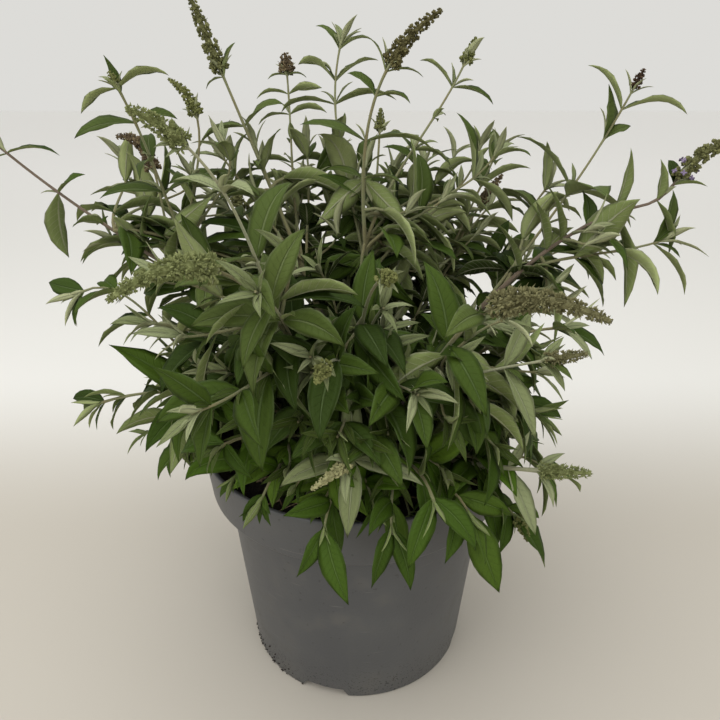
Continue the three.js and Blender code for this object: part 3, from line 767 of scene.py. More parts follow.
def limb_of(mass):
    """A limb runs out square to the woody base's dome, to the tip of the mass's leader."""
    leader = MASSES[mass][2]
    foot = HEART + headings[mass] * (BASE_RADIUS + CLEARANCE)
    limb = Way(foot, headings[mass], tip_of(leader), tip_way_of(leader))
    if leader[5] == "lilac":
        limb.hang(*LILAC_HANG)
    return limb


# ---- The woody base ----
# The stool that all the stems grow from: old, hard and knobbly, with bark that flakes in strips. It
# flares where it meets the mix, and the leaves hide it almost wholly.
BASE_SIDES = 72
BASE_FLARE = 0.010
FLARE_CURVE = 2.2
FLARE_RINGS = 8
DOME_RINGS = 26
ground = SOIL_HEIGHT + SOIL_CROWNING + CLEARANCE


def base_shape():
    """A low dome on a flared foot, with ridges and knobs all round it."""
    profile = [[0, ground]]
    for share in np.arange(FLARE_RINGS) / FLARE_RINGS:
        radius = BASE_RADIUS + BASE_FLARE * (1 - share) ** FLARE_CURVE
        profile.append([radius, ground + (HEART[2] - ground) * share])
    for turn in np.arange(DOME_RINGS) / DOME_RINGS * math.pi / 2:
        profile.append([BASE_RADIUS * math.cos(turn), HEART[2] + BASE_RADIUS * math.sin(turn)])
    profile.append([0, HEART[2] + BASE_RADIUS])
    corners, faces = turned(profile, BASE_SIDES)
    corners = np.array(corners)
    height = corners[:, 2]
    bearing = np.arctan2(corners[:, 1], corners[:, 0])
    ridges = 0.05 * np.sin(9 * bearing + 60 * height) + 0.03 * np.sin(23 * bearing - 90 * height)
    knobs = 0.06 * np.sin(5 * bearing + 1.3) * np.cos(110 * (height - ground))
    swell = np.where(height > ground + 0.001, ridges + knobs, 0)
    corners[:, :2] *= 1 + swell[:, None]
    return corners, faces


def bark_finish(name, code, groove_code, scale):
    finish = Finish(name, 0.88, Sheen_Weight=0.25, Sheen_Roughness=0.6)
    upright = finish.stretched(finish.places(), Scale=(1, 1, 0.3))
    strips = finish.noise(scale, 5, upright, Distortion=0.6)
    mottle = finish.noise(scale * 0.25, 3)
    bark = strips.step(0.35, 0.65).between(colour(groove_code), colour(code))
    finish.feed("Base Color", (mottle.step(0.4, 0.75) * 0.45).between(bark, colour("a89a80")))
    finish.relief(strips + mottle * 0.5, 0.0012)
    return finish.material


base = make_piece("woody_base", *base_shape(), [bark_finish("flaking bark", "6c5d48", "3a2f24", 220)])
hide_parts("stool")


# ---- Boughs ----
# Last year's stems, each a tapering limb from the woody base to where its mass of foliage begins.
# Their thin bark is ridged lengthwise and swells a little where leaves once stood.
BOUGH_FOOT_RADIUS = 0.0042
BOUGH_TIP_RADIUS = 0.0030
BOUGH_ROOT = 0.004
BOUGH_RINGS = 30
BOUGH_SIDES = 18
BOUGH_RIDGES = 0.05
OLD_NODES = (0.35, 0.8)
NODE_SWELL = 0.22
NODE_LENGTH = 0.0028


def swollen(radii, distances, nodes):
    """Radii that swell where leaves stand."""
    for node in nodes:
        radii = radii * (1 + NODE_SWELL * np.exp(-((distances - node) / NODE_LENGTH) ** 2))
    return radii


boughs = Heap()
for mass in range(len(MASSES)):
    limb = limb_of(mass)
    end = limb.length * BOUGH_SHARE
    distances = np.concatenate([[-BOUGH_ROOT], np.linspace(0, end, BOUGH_RINGS - 1)])
    points = limb.at(np.maximum(distances, 0))
    points[0] -= headings[mass] * BOUGH_ROOT
    radii = np.linspace(BOUGH_FOOT_RADIUS, BOUGH_TIP_RADIUS, BOUGH_RINGS)
    radii = swollen(radii, distances, [end * share for share in OLD_NODES])
    boughs.add(*limb_shape(points, radii, BOUGH_SIDES, BOUGH_RIDGES))
bough_piece = boughs.piece("boughs", [bark_finish("ridged young bark", "756a52", "473f30", 420)])
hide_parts(*(f"bough_{name}" for name, *_ in MASSES))


# ---- Shoots ----
# This year's soft stems, tan to grey-green under a felt of short hairs. Pairs of leaves stand opposite
# each other at their nodes, far apart on flowering shoots and close at the tips.
LEADER_FOOT_RADIUS = 0.0026
LEADER_TIP_RADIUS = 0.0010
PALE_TIP_RADIUS = 0.0015
SIDE_RADII = (0.0015, 0.0008)
SHOOT_SIDES = 8
SHOOT_STEP = 0.007
SPIKE_ROOT = 0.003
LONGEST_SPIKE = 0.6
LONG_INTERNODE = 0.048
SHORT_INTERNODE = 0.0275
FIRST_NODE = (0.35, 0.4)
LAST_NODE = 0.006
NODE_CROWDING = (1.15, 0.55)
NODE_CHANCE = (0.9, 0.2)


class Shoot:
    """One stem of this year: its curve, where its wood begins and ends on it, and its leaf nodes."""

    def __init__(self, way, start, ending, radii, internode, seed, mass, known=(), tint="tan"):
        self.way, self.start, self.mass, self.tint, self.radii = way, start, mass, tint, radii
        self.spike = ENDINGS[ending]
        spike_length = self.spike[0] if self.spike else 0
        self.end = way.length - min(LONGEST_SPIKE * way.length, spike_length)
        self.nodes = []
        span = self.end - start
        last = min((pair[0] for pair in known), default=1.06) * span - internode * 0.5
        place = internode * (FIRST_NODE[0] + FIRST_NODE[1] * chance(seed, 1, 1))
        while place < min(last, span - LAST_NODE):
            self.nodes.append((start + place, None))
            crowding = NODE_CROWDING[0] - NODE_CROWDING[1] * (place / span) ** 2
            unevenness = NODE_CHANCE[0] + NODE_CHANCE[1] * chance(seed, len(self.nodes), 2)
            place += internode * crowding * unevenness
        for share, *pair in sorted(known):
            self.nodes.append((start + share * span, pair))

    def radius(self, share):
        """The radius at a share of the way to the tip, which thins most near the foot."""
        foot, tip = self.radii
        return tip + (foot - tip) * (1 - share) ** 2

    def shape(self):
        count = max(4, int((self.end - self.start) / SHOOT_STEP))
        distances = np.linspace(self.start, self.end + (SPIKE_ROOT if self.spike else 0), count)
        radii = swollen(self.radius(np.linspace(0, 1, count)), distances, [node for node, _ in self.nodes])
        return limb_shape(self.way.at(distances), radii, SHOOT_SIDES)


GOLDEN_ANGLE = 137.5
LOW_RISE = 20
SIDE_ROLL = 54
SIDE_SPREAD = (12, 18)
SIDE_FLATNESS = 0.9
SIDE_SINK = 2
SIDE_SWING = 30
SIDE_NOD = 25
LOW_SIDE_NOD = 55


def side_shoots(mass, count, reaches, first=0):
    """Side shoots stand round a mass's heading, each a golden angle on from the last."""
    heading = headings[mass]
    bearing = math.degrees(math.atan2(heading[1], heading[0]))
    rise = math.degrees(math.asin(heading[2]))
    nod = LOW_SIDE_NOD if rise < LOW_RISE else SIDE_NOD
    reach = min(shoot[2] for shoot in MASSES[mass][2:])
    shoots = []
    for k in range(first, first + count):
        roll = math.radians(GOLDEN_ANGLE * (k + 0.5) + SIDE_ROLL * chance(mass, k, 1))
        spread = SIDE_SPREAD[0] + (SIDE_SPREAD[1] - SIDE_SPREAD[0]) * chance(mass, k, 2)
        side_bearing = bearing + spread * math.cos(roll) / math.cos(math.radians(rise))
        side_rise = rise + spread * math.sin(roll) * SIDE_FLATNESS - SIDE_SINK
        side_reach = reach * (reaches[0] + (reaches[1] - reaches[0]) * chance(mass, k, 3))
        swing = SIDE_SWING * (chance(mass, k, 5) - 0.5)
        shoots.append((side_bearing, side_rise, side_reach, swing, side_rise - nod, "leaf"))
    return shoots


SPACE_EDGE = 0.004
SHOOT_GAP = 0.003


def in_space(mass, points):
    """True if points lie in the mass's cone, above the floor and clear of the pot's wall."""
    out = unit(points - HEART)
    others = np.array([heading for i, heading in enumerate(headings) if i != mass])
    nearer = out @ headings[mass] > (out @ others.T).max(1) - SPACE_EDGE
    return nearer.all() and clear_of_pot(points, SHOOT_GAP)


def clear_of_pot(points, gap):
    """True if no point lies in the pot's wall or under the potting mix."""
    radius = np.hypot(points[:, 0], points[:, 1])
    height = points[:, 2]
    heights = [0, BAND_FOOT, BAND_FOOT + 1e-4, POT_HEIGHT]
    radii = [POT_BASE_RADIUS, BODY_TOP_RADIUS, BAND_FOOT_RADIUS, POT_TOP_RADIUS]
    outside = radius > np.interp(height, heights, radii) + gap
    inside = (radius < soil_radius - gap) & (height > SOIL_HEIGHT + gap)
    return bool((outside | inside | (height > POT_HEIGHT + gap)).all())


SIDE_REACH = (0.66, 0.86)
LOW_SIDE_REACH = (0.75, 0.93)
INNER_REACH = (0.42, 0.6)
INNER_SHOOTS = 3
MAIN_FORKS = (0.05, 0.3)
SIDE_FORKS = (0.0, 0.62)
FORK_LEANS = 0.35
PULLS = (0, 0.35, 0.6)
TRIED_POINTS = 24
SEEDS_APART = 40

# The side shoots of each mass come from its leader, and are pulled in where they would leave its space.
shoots = []
for mass, (name, fill, *main) in enumerate(MASSES):
    limb = limb_of(mass)
    start = limb.length * BOUGH_SHARE
    tint = STEM_TINTS.get((name, 0), "tan")
    radii = (LEADER_FOOT_RADIUS, PALE_TIP_RADIUS if tint == "pale" else LEADER_TIP_RADIUS)
    known = PAIRS.get((name, 0), ())
    seed = mass * SEEDS_APART
    leader = Shoot(limb, start, main[0][5], radii, LONG_INTERNODE, seed, mass, known, tint)
    shoots.append(leader)
    is_low = headings[mass][2] < math.sin(math.radians(LOW_RISE))
    count = fill * 2 + (1 if is_low else 3)
    sides = [*main[1:], *side_shoots(mass, count, LOW_SIDE_REACH if is_low else SIDE_REACH),
             *side_shoots(mass, INNER_SHOOTS, INNER_REACH, count), *PLACED.get(name, ())]
    for k, shoot in enumerate(sides, 1):
        if k in CUT_OFF.get(name, ()):
            continue
        is_main = k < len(main)
        forks = MAIN_FORKS if is_main else SIDE_FORKS
        fork = start + (leader.end - start) * (forks[0] + forks[1] * chance(mass, k - 1, 8))
        foot, way = limb.at(fork), limb.heading_at(fork)
        known = PAIRS.get((name, k), ())
        tint = STEM_TINTS.get((name, k), "tan")
        internode = LONG_INTERNODE if is_main else SHORT_INTERNODE
        for pull in PULLS:
            tip_line = tip_of(shoot) - HEART
            line = unit(unit(tip_line) * (1 - pull) + headings[mass] * pull)
            tip = HEART + line * np.linalg.norm(tip_line)
            tip_way = unit(tip_way_of(shoot) * (1 - pull) + headings[mass] * pull)
            first_way = unit(unit(tip - foot) * (1 - FORK_LEANS) + way * FORK_LEANS)
            curve = Way(foot, first_way, tip, tip_way)
            if is_main or in_space(mass, curve.at(np.linspace(0.01, curve.length, TRIED_POINTS))):
                seed = mass * SEEDS_APART + k
                shoots.append(Shoot(curve, 0, shoot[5], SIDE_RADII, internode, seed, mass, known, tint))
                break

HEART_SHOOTS = 26
HEART_RISE = (86, 38)
HEART_REACH = (0.075, 0.155)
HEART_ROOT = 0.97
HEART_SWING = 40
HEART_INTERNODE = 0.017

# Short shoots fill the middle of the crown, from the top of the woody base.
for k in range(HEART_SHOOTS):
    rise = HEART_RISE[0] - (HEART_RISE[0] - HEART_RISE[1]) * k / HEART_SHOOTS
    out = direction(GOLDEN_ANGLE * k, rise)
    reach = HEART_REACH[0] + (HEART_REACH[1] - HEART_REACH[0]) * chance(k, 1, 9)
    tip_way = direction(GOLDEN_ANGLE * k + HEART_SWING * chance(k, 2, 9), rise - SIDE_NOD)
    curve = Way(HEART + out * BASE_RADIUS * HEART_ROOT, out, HEART + out * reach, tip_way)
    mass = int(np.argmax([heading @ out for heading in headings]))
    shoots.append(Shoot(curve, 0, "leaf", SIDE_RADII, HEART_INTERNODE, k, mass))

# Each tint of stem: two greens or browns that mottle it, and its hairs.
SHOOT_TINTS = {
    "tan": ("727550", "766f4b", "979870"),
    "pale": ("8f9174", "999878", "b3b295"),
    "purple": ("665749", "6d5e4d", "87806a"),
}


def felt_stem_finish(tint):
    finish = Finish(f"{tint} felted stem", 0.8, Sheen_Weight=0.15, Sheen_Roughness=0.5)
    first, second, hair = (colour(code) for code in SHOOT_TINTS[tint])
    blotch = finish.noise(45, 3)
    hairs = finish.noise(900, 2)
    stem = blotch.step(0.35, 0.68).between(first, second)
    finish.feed("Base Color", (hairs.step(0.5, 0.8) * 0.5).between(stem, hair))
    finish.relief(hairs, 0.0003)
    return finish.material


for tint in SHOOT_TINTS:
    stems = Heap()
    for shoot in shoots:
        if shoot.tint == tint:
            stems.add(*shoot.shape())
    stems.piece(f"shoots_{tint}", [felt_stem_finish(tint)])


# ---- Leaves ----
# Long narrow leaves, matt green above and pale with felt below, creased along the midrib. They arch
# out from the nodes and hang at the tip, larger and greener low down, small and grey at the top.
ROWS = (0, 0.045, 0.13, 0.25, 0.38, 0.52, 0.66, 0.8, 0.91)
UPPER_SIDE = {0: -1, 1: -0.5, 2: 0, 3: 0.5, 4: 1}
UNDERSIDE = {5: 0.5, 6: 0, 7: -0.5}
FOOT_FACES = ([0, 7, 1], [1, 7, 6], [1, 6, 2], [2, 6, 3], [6, 5, 3], [3, 5, 4])
FOOT_PLACES = [(0.0, 0.1), (0.05, 0.1), (0.0, 0.3)]


def blade_width(share):
    """The half width of a leaf along its length, by its greatest half width."""
    lance = share ** 0.85 * (1 - share) ** 1.25 / 0.2458
    return np.maximum(lance, 0.08 * (1 - share))


def leaf_template():
    """The triangles of one leaf as rows of eight corners and a tip, each with its side and its UV.

    Both sides are cut along the same diagonals, so that the thin blade never shows through itself.
    """
    faces, sides, places = [], [], []
    for side, line in enumerate(([0, 1, 2, 3, 4], [0, 7, 6, 5, 4])):
        for row, u in enumerate(ROWS):
            for i in range(4):
                v, x = i / 4, (i + 1) / 4
                a, b = (8 * row + line[i], (u, v)), (8 * row + line[i + 1], (u, x))
                if row + 1 == len(ROWS):
                    cuts = [[a, b, (8 * len(ROWS), (1.0, 0.5))]]
                else:
                    w = ROWS[row + 1]
                    c, d = (8 * row + 8 + line[i + 1], (w, x)), (8 * row + 8 + line[i], (w, v))
                    cuts = [[a, b, c], [a, c, d]] if i < 2 else [[a, b, d], [b, c, d]]
                for cut in cuts:
                    cut = cut[::-1] if side else cut
                    faces.append([corner for corner, _ in cut])
                    places.append([place for _, place in cut])
                    sides.append(side)
    for cap in FOOT_FACES:
        faces.append(cap)
        places.append(FOOT_PLACES)
        sides.append(1)
    return np.array(faces), np.array(sides), np.array(places)


BLADE_THICKNESS = 0.006
LEAST_THICKNESS = 0.00035
RIB_THICKNESS = 1.6
BELLY = 0.10
EDGE_RIPPLE = 0.08
EDGE_WAVES = 2.3
TIP_DROOP = 1.3
FOOT_DROOP = 0.35
BACKWARD_DROOP = 0.55
DOWNWARD_DROOP = 0.75


def blades(leaves):
    """The corners of many leaves at once, each bent by its own weight along its length."""
    root, way, upper = (np.array([leaf[key] for leaf in leaves]) for key in ("root", "way", "upper"))
    length, width, droop, fold, twist, sickle, wave = (
        np.array([leaf[key] for leaf in leaves])[:, None]
        for key in ("length", "width", "droop", "fold", "twist", "sickle", "wave")
    )
    heading = unit(way)
    normal = unit(upper - heading * (upper * heading).sum(1, keepdims=True))
    corners = np.zeros((len(leaves), 8 * len(ROWS) + 1, 3))
    middle = root.copy()
    for row, share in enumerate(ROWS):
        across = np.cross(heading, normal)
        half = blade_width(share) * width / 2
        thickness = np.maximum(length * BLADE_THICKNESS, LEAST_THICKNESS) * (1 - 0.5 * share)
        edge = EDGE_RIPPLE * half * np.sin(2 * np.pi * (EDGE_WAVES * share) + wave)
        for i, place in {**UPPER_SIDE, **UNDERSIDE}.items():
            lift = fold * half * abs(place)
            if abs(place) == 1:
                lift = lift + edge * place
            elif place:
                lift = lift + BELLY * half
            if i in UNDERSIDE:
                lift = lift - thickness * (1 if place else RIB_THICKNESS)
            corners[:, 8 * row + i] = middle + across * half * place + normal * lift
        step = (*ROWS, 1.0)[row + 1] - share
        bend = droop * step * (FOOT_DROOP + TIP_DROOP * share)
        middle = middle + heading * length * step
        fall = normal * BACKWARD_DROOP + UP * DOWNWARD_DROOP
        heading = unit(heading - fall * bend + across * sickle * step)
        normal = unit(normal - heading * (normal * heading).sum(1, keepdims=True) + across * twist * step)
    corners[:, -1] = middle
    return corners


def leaf_piece(name, leaves, tints, under):
    """Joins leaves in one piece. A leaf's tint is one of the upper sides' materials."""
    faces, sides, places = leaf_template()
    corners = blades(leaves)
    count, each = corners.shape[:2]
    tile = np.where(sides[None] == 0, np.array([leaf["tint"] for leaf in leaves])[:, None], len(tints))
    mesh = bpy.data.meshes.new(name)
    mesh.vertices.add(count * each)
    mesh.vertices.foreach_set("co", corners.ravel())
    loops = faces.ravel()[None] + each * np.arange(count)[:, None]
    mesh.loops.add(loops.size)
    mesh.loops.foreach_set("vertex_index", loops.ravel().astype(np.int32))
    mesh.polygons.add(tile.size)
    mesh.polygons.foreach_set("loop_start", 3 * np.arange(tile.size, dtype=np.int32))
    mesh.polygons.foreach_set("material_index", tile.ravel().astype(np.int32))
    blade_map = mesh.uv_layers.new(name="blade")
    blade_map.data.foreach_set("uv", np.tile(places.ravel(), count))
    # On the baked picture each material has a band of its own.
    bake_map = mesh.uv_layers.new(name="OFBake")
    bake_v = (tile[:, :, None] + 0.05 + 0.9 * places[None, :, :, 1]) / (len(tints) + 1)
    bake_u = np.broadcast_to(0.01 + 0.98 * places[None, :, :, 0], bake_v.shape)
    bake_map.data.foreach_set("uv", np.stack([bake_u, bake_v], -1).ravel())
    mesh.update(calc_edges=True)
    mesh.validate()
    piece = place_mesh(mesh, [*tints, under])


def shaded(code, share):
    """A share of a colour's light."""
    return (*(share * part for part in colour(code)[:3]), 1.0)


def blade_finish(name, code, rib_code, is_under=False):
    """A leaf's surface: the midrib, side veins that curve forward, and fine mottling, placed by UV."""
    finish = Finish(name, 0.8 if is_under else 0.6, Specular_IOR_Level=0.12)
    uv = finish.signal("ShaderNodeUVMap", {"uv_map": "blade"})
    along = finish.axis(uv, "X")
    out = abs(finish.axis(uv, "Y") - 0.5) * 2
    rib = 1 - (out / (0.16 - along * 0.1)).step(0.3, 1.0)
    wave = (along * 11 - out * 1.9 + out * out * 0.5).math("FRACT")
    vein = (abs(wave - 0.5) * 2).step(0.78, 1.0) * (1 - out.step(0.6, 1.0))
    speckle = finish.noise(90, 3, finish.stretched(uv, Scale=(1, 0.3, 1)))
    base = speckle.step(0.3, 0.7).between(colour(code), shaded(code, 0.86))
    if is_under:
        veined = (vein * 0.35).between(base, colour(rib_code))
    else:
        # On the upper side the sunken side veins are a little darker: painted shade in their grooves.
        veined = (vein * 0.09).between(base, shaded(code, 0.6))
    # Both sides are paler at the margin; on the upper side this is a painted sheen along the edge.
    edged = (out.step(0.82, 1.0) * 0.55).between(veined, colour(rib_code))
    finish.feed("Base Color", (rib * (0.85 if is_under else 0.45)).between(edged, colour(rib_code)))
    sign = 1 if is_under else -1
    finish.relief(rib * (1.6 * sign) + vein * (0.35 * sign) + speckle * 0.15, 0.0005)
    return finish.material


# The leaves in six ages or places: the three tints of the upper side, the felt, the ribs, the usual
# length, the droop, and the width by the length. The darker colours of the leaves deep inside the
# crown are painted shade.
FELT_RIB = "a9ab8c"
LEAF_KINDS = {
    # Painted shade: all colours of the leaves deep inside the crown are darker, for the shade there.
    "shaded_inner": (("24330a", "2b3a0a", "1f2d08"), "3f4c24", "364319", 0.046, 0.9, 0.38),
    "skirt": (("3c5315", "34490f", "455b1a"), "808e56", "566a37", 0.053, 1.0, 0.36),
    "low": (("496519", "3f5912", "546e20"), "8c9a60", "5f743c", 0.053, 1.0, 0.37),
    "mid": (("374a16", "3f521a", "2e3f11"), "85925a", "5f7046", 0.059, 0.8, 0.37),
    "high": (("475624", "3e4d1c", "52602e"), "98a26c", "77825a", 0.059, 1.05, 0.33),
    "young": (("8a926a", "949b73", "7a8359"), "adb188", "a0a486", 0.048, 0.9, 0.27),
}
TRIES = ((0, 1), (0.5, 0.85), (1.1, 0.7))
LEAF_GAP = 0.0008
OTHER_TINT = 0.25

leaves = {zone: [] for zone in LEAF_KINDS}


def add_leaf(zone, root, way, upper, length, slimness, seed, droop):
    """Adds a leaf, turned up or made smaller if it would run into the pot."""
    for lift, size in TRIES:
        leaf = {
            "root": root, "way": unit(way + UP * lift), "upper": upper,
            "length": length * size, "width": length * size * slimness,
            "droop": droop * luck.uniform(0.7, 1.3), "fold": luck.uniform(0.2, 0.5),
            "twist": luck.normal(0, 0.5), "sickle": luck.normal(0, 0.25), "wave": luck.uniform(0, 6.3),
            "tint": (seed + int(luck.random() < OTHER_TINT)) % 3,
        }
        if clear_of_pot(blades([leaf])[0][16:], LEAF_GAP):
            leaves[zone].append(leaf)
            return


LOW_TOP = 0.27
MID_TOP = 0.35
OLD_AGE = 0.4
YOUNG_AGE = 0.6
SHADED_INNER_SHARE = 0.56
SKIRT_START = 0.118


def low_zone(spot):
    """Low leaves that hang past the pot's edge are the skirt's."""
    return "skirt" if math.hypot(spot[0], spot[1]) > SKIRT_START else "low"


def zone_of(shoot, node, age, is_known):
    """The kind of leaf at a node, by its place and by how far along its shoot it stands."""
    mass_reach = min(main[2] for main in MASSES[shoot.mass][2:])
    # Leaves near the heart take the darker colours of painted shade, for the shade deep in the crown.
    if np.linalg.norm(node - HEART) < SHADED_INNER_SHARE * mass_reach and not is_known:
        return "shaded_inner"
    if shoot.tint == "pale" and age > YOUNG_AGE:
        return "young"
    if shoot.tint == "purple":
        return "mid"
    if node[2] < LOW_TOP:
        return low_zone(node)
    return "mid" if node[2] < MID_TOP or age < OLD_AGE else "high"


RIGHT = np.array([1.0, 0.0, 0.0])
STEEP = 0.85
FLATTENING = 0.55
PAIR_TURN = 0.5
SHRINKING = 0.42
LOW_SHRINKING = 0.2
LENGTH_CHANCE = (0.8, 1.12)
WIDTH_CHANCE = (0.9, 1.12)
LEAN = 58
TIP_LEAN = 14
LEAN_CHANCE = 6
SPREAD_LEAN = 0.5
SPREAD_SETTLING = 0.14
UPRIGHT_DROOP = 0.5
SMALL_LENGTH = (0.012, 0.024)
SMALL_CHANCE = 0.5
KNOWN_SMALL_CHANCE = 0.35
SMALL_HIGH_TOP = 0.38
SMALL_RISE = 0.001
SMALL_LEAN = 0.55
SMALL_SLIMNESS = 0.3
SMALL_DROOP = 0.8
UPPER_SIDE_UP = 0.9


def add_pair(number, pair, shoot, axes, place, known):
    """Adds a node's two opposite leaves, each often with a small one in its axil."""
    way, across, _ = axes
    at = min(CURVE_POINTS - 1, int(place / shoot.way.length * (CURVE_POINTS - 1)))
    ahead = way[at]
    node = shoot.way.at(place)
    age = (place - shoot.start) / (shoot.end - shoot.start)
    zone = zone_of(shoot, node, age, bool(known))
    _, _, _, usual, droop, slim = LEAF_KINDS[zone]
    turn = pair * math.pi / 2 + PAIR_TURN * (chance(number, pair, 4) - 0.5)
    is_steep = abs(ahead[2]) > STEEP
    first = across[at] if is_steep else unit(np.cross(ahead, UP))
    second = np.cross(first, ahead) * (1 if is_steep else FLATTENING)
    shrinking = LOW_SHRINKING if zone in ("low", "skirt") else SHRINKING
    lengths = usual * (1 - shrinking * age ** 3) * luck.uniform(*LENGTH_CHANCE, 2)
    angles = [luck.normal(LEAN - TIP_LEAN * age ** 2, LEAN_CHANCE)] * 2
    if known:
        turn = math.radians(known[0])
        first = unit(RIGHT - ahead * (RIGHT @ ahead))
        second = np.cross(first, ahead)
        lengths = np.array(known[1:3]) / 1000
        angles = known[3] if isinstance(known[3], tuple) else [known[3]] * 2
        slim = known[4] if len(known) > 4 else slim
    for half in (0, 1):
        out = unit(first * math.cos(turn + half * math.pi) + second * math.sin(turn + half * math.pi))
        lean = math.radians(angles[half])
        is_spread = lean > SPREAD_LEAN
        leaf_way = ahead * math.cos(lean) + out * math.sin(lean) - UP * (SPREAD_SETTLING if is_spread else 0)
        upper = ahead + UP * UPPER_SIDE_UP
        root = node + out * shoot.radius(age) * 0.5
        slimness = slim * luck.uniform(*WIDTH_CHANCE)
        leaf_droop = droop if is_spread else UPRIGHT_DROOP
        add_leaf(zone, root, leaf_way, upper, lengths[half], slimness, number, leaf_droop)
        if luck.random() < (KNOWN_SMALL_CHANCE if known else SMALL_CHANCE):
            small = luck.uniform(*SMALL_LENGTH)
            high_zone = "high" if node[2] < SMALL_HIGH_TOP else "young"
            small_zone = low_zone(node) if node[2] < LOW_TOP else high_zone
            small_root, small_way = root + ahead * SMALL_RISE, ahead + out * SMALL_LEAN
            add_leaf(small_zone, small_root, small_way, upper, small, SMALL_SLIMNESS, number, SMALL_DROOP)


TUFT_LENGTH = (0.024, 0.034)
TUFT_SHORTENING = 0.006
SPIKE_TUFT_LENGTH = (0.011, 0.019)
LOW_TUFT_SIZE = 0.8
TUFT_PLACE = 0.004
TUFT_STEP = 0.002
TUFT_LEAN = 0.75
TUFT_RAISING = 0.2
TUFT_SIDE_UP = 0.3
SPIKE_TUFT_LEAN = 0.7
TUFT_SLIMNESS = 0.22
TUFT_DROOP = 0.6
SKIRT_TOP = 0.24
CROWN_FOOT = 0.3


def add_tuft(number, shoot, axes):
    """Adds the youngest leaves, which stand close round the tip or round the spike's foot."""
    _, across, third = axes
    heading = shoot.way.heading_at(shoot.end - TUFT_STEP)
    tip = shoot.way.at(shoot.end)
    zone = "young" if tip[2] > CROWN_FOOT else "high" if tip[2] > SKIRT_TOP else low_zone(tip)
    size = LOW_TUFT_SIZE if tip[2] < SKIRT_TOP else 1.0
    for ring in range(2 if shoot.spike else 3):
        for half in (0, 1):
            turn = (ring * 0.5 + half) * math.pi + number
            out = across[-1] * math.cos(turn) + third[-1] * math.sin(turn)
            lean = SPIKE_TUFT_LEAN if shoot.spike else TUFT_LEAN - TUFT_RAISING * ring
            length = luck.uniform(*(SPIKE_TUFT_LENGTH if shoot.spike else TUFT_LENGTH))
            length -= 0 if shoot.spike else TUFT_SHORTENING * ring
            root = tip - heading * (TUFT_PLACE + TUFT_STEP * ring)
            leaf_way, upper = heading + out * lean, heading + UP * TUFT_SIDE_UP
            add_leaf(zone, root, leaf_way, upper, length * size, TUFT_SLIMNESS, number, TUFT_DROOP)


for number, shoot in enumerate(shoots):
    axes = frames_along(shoot.way.at(np.linspace(0, shoot.way.length, CURVE_POINTS)))
    for pair, (place, known) in enumerate(shoot.nodes):
        add_pair(number, pair, shoot, axes, place, known)
    add_tuft(number, shoot, axes)

LEAVES_TO_A_PIECE = 1300
for zone, (tints, felt, rib, *_) in LEAF_KINDS.items():
    uppers = [blade_finish(f"{zone} leaf {i}", tint, rib) for i, tint in enumerate(tints, 1)]
    below = blade_finish(f"{zone} leaf felt", felt, FELT_RIB, is_under=True)
    for part, first in enumerate(range(0, len(leaves[zone]), LEAVES_TO_A_PIECE), 1):
        leaf_piece(f"leaves_{zone}_{part}", leaves[zone][first:first + LEAVES_TO_A_PIECE], uppers, below)


# ---- Flower buds ----
# Each flowering shoot ends in a tapering spike of tight buds, in tiers of small clusters that are
# largest at the foot. They are green to dark brown, and one spike opens its first lilac florets.
BUD_SIDES = 5
BUD_ROWS = ((0.0, 0.35), (0.3, 1.0), (0.7, 0.85))


def bud_shape():
    """One bud as an egg: rings of corners and a tip, a unit long and a unit wide."""
    turns = np.linspace(0, 2 * np.pi, BUD_SIDES, endpoint=False)
    corners = []
    for height, width in BUD_ROWS:
        corners.extend([height, width * 0.5 * math.cos(t), width * 0.5 * math.sin(t)] for t in turns)
    last = len(corners) - BUD_SIDES
    corners.append([1, 0, 0])
    faces = [list(range(BUD_SIDES))[::-1], *ring_walls(len(BUD_ROWS), BUD_SIDES)]
    faces += [[last + i, last + (i + 1) % BUD_SIDES, last + BUD_SIDES] for i in range(BUD_SIDES)]
    return np.array(corners), faces


bud_corners, bud_faces = bud_shape()


def add_bud(heap, place, way, length, width):
    side = unit(np.cross(way, UP + 0.01))
    bud_axes = np.stack([way * length, side * width, np.cross(way, side) * width])
    heap.add(bud_corners @ bud_axes + place, bud_faces)


FLORET_TUBE = (0.0034, 0.0011)
FLORET_PETAL = (0.0024, 0.0015)
PETAL_PLACE = 0.85
PETAL_LEAN = 0.25


def add_floret(heap, place, way):
    """An open floret: a slender tube that ends in four spread petals."""
    add_bud(heap, place, way, *FLORET_TUBE)
    side = unit(np.cross(way, UP + 0.01))
    for turn in np.arange(4) * math.pi / 2:
        petal_way = unit(side * math.cos(turn) + np.cross(way, side) * math.sin(turn) + way * PETAL_LEAN)
        add_bud(heap, place + way * FLORET_TUBE[0] * PETAL_PLACE, petal_way, *FLORET_PETAL)


CORE_ROWS = 32
CORE_SHARE = 0.45
CORE_TIP = 0.15
TIP_ROUNDING = 0.85
TIER_SIZES = (0.92, 1.06)
TIER_SPACE = 0.0004
TIP_THINNING = 0.35
CLUSTER_PLACE = 0.5
CLUSTER_TURN = 0.1
CLUSTER_SHIFT = 0.08
BUD_LEAN = (0.2, 0.5)
BUD_SCATTER = 0.6
BUD_SIZES = (0.8, 1.15)
BUD_PLACE = 0.12
BRACT_LEAN = (0.4, 1.0)
BRACT_LENGTH = 0.85
BRACT_WIDTH = 0.0006
OPEN_SHARE = 0.16
OPEN_CHANCE = 0.35
OPEN_PLACE = 0.3
OPEN_LEAN = 0.3

# A tight spike and a fuzzy one: the buds in a cluster, their length by the spike's radius, their width
# by their length, how often a cluster has a bract, and how far apart the tiers stand.
TIGHT = (10, 0.44, 0.68, 0.12, 0.58)
FUZZY = (9, 0.4, 0.42, 0.4, 0.42)


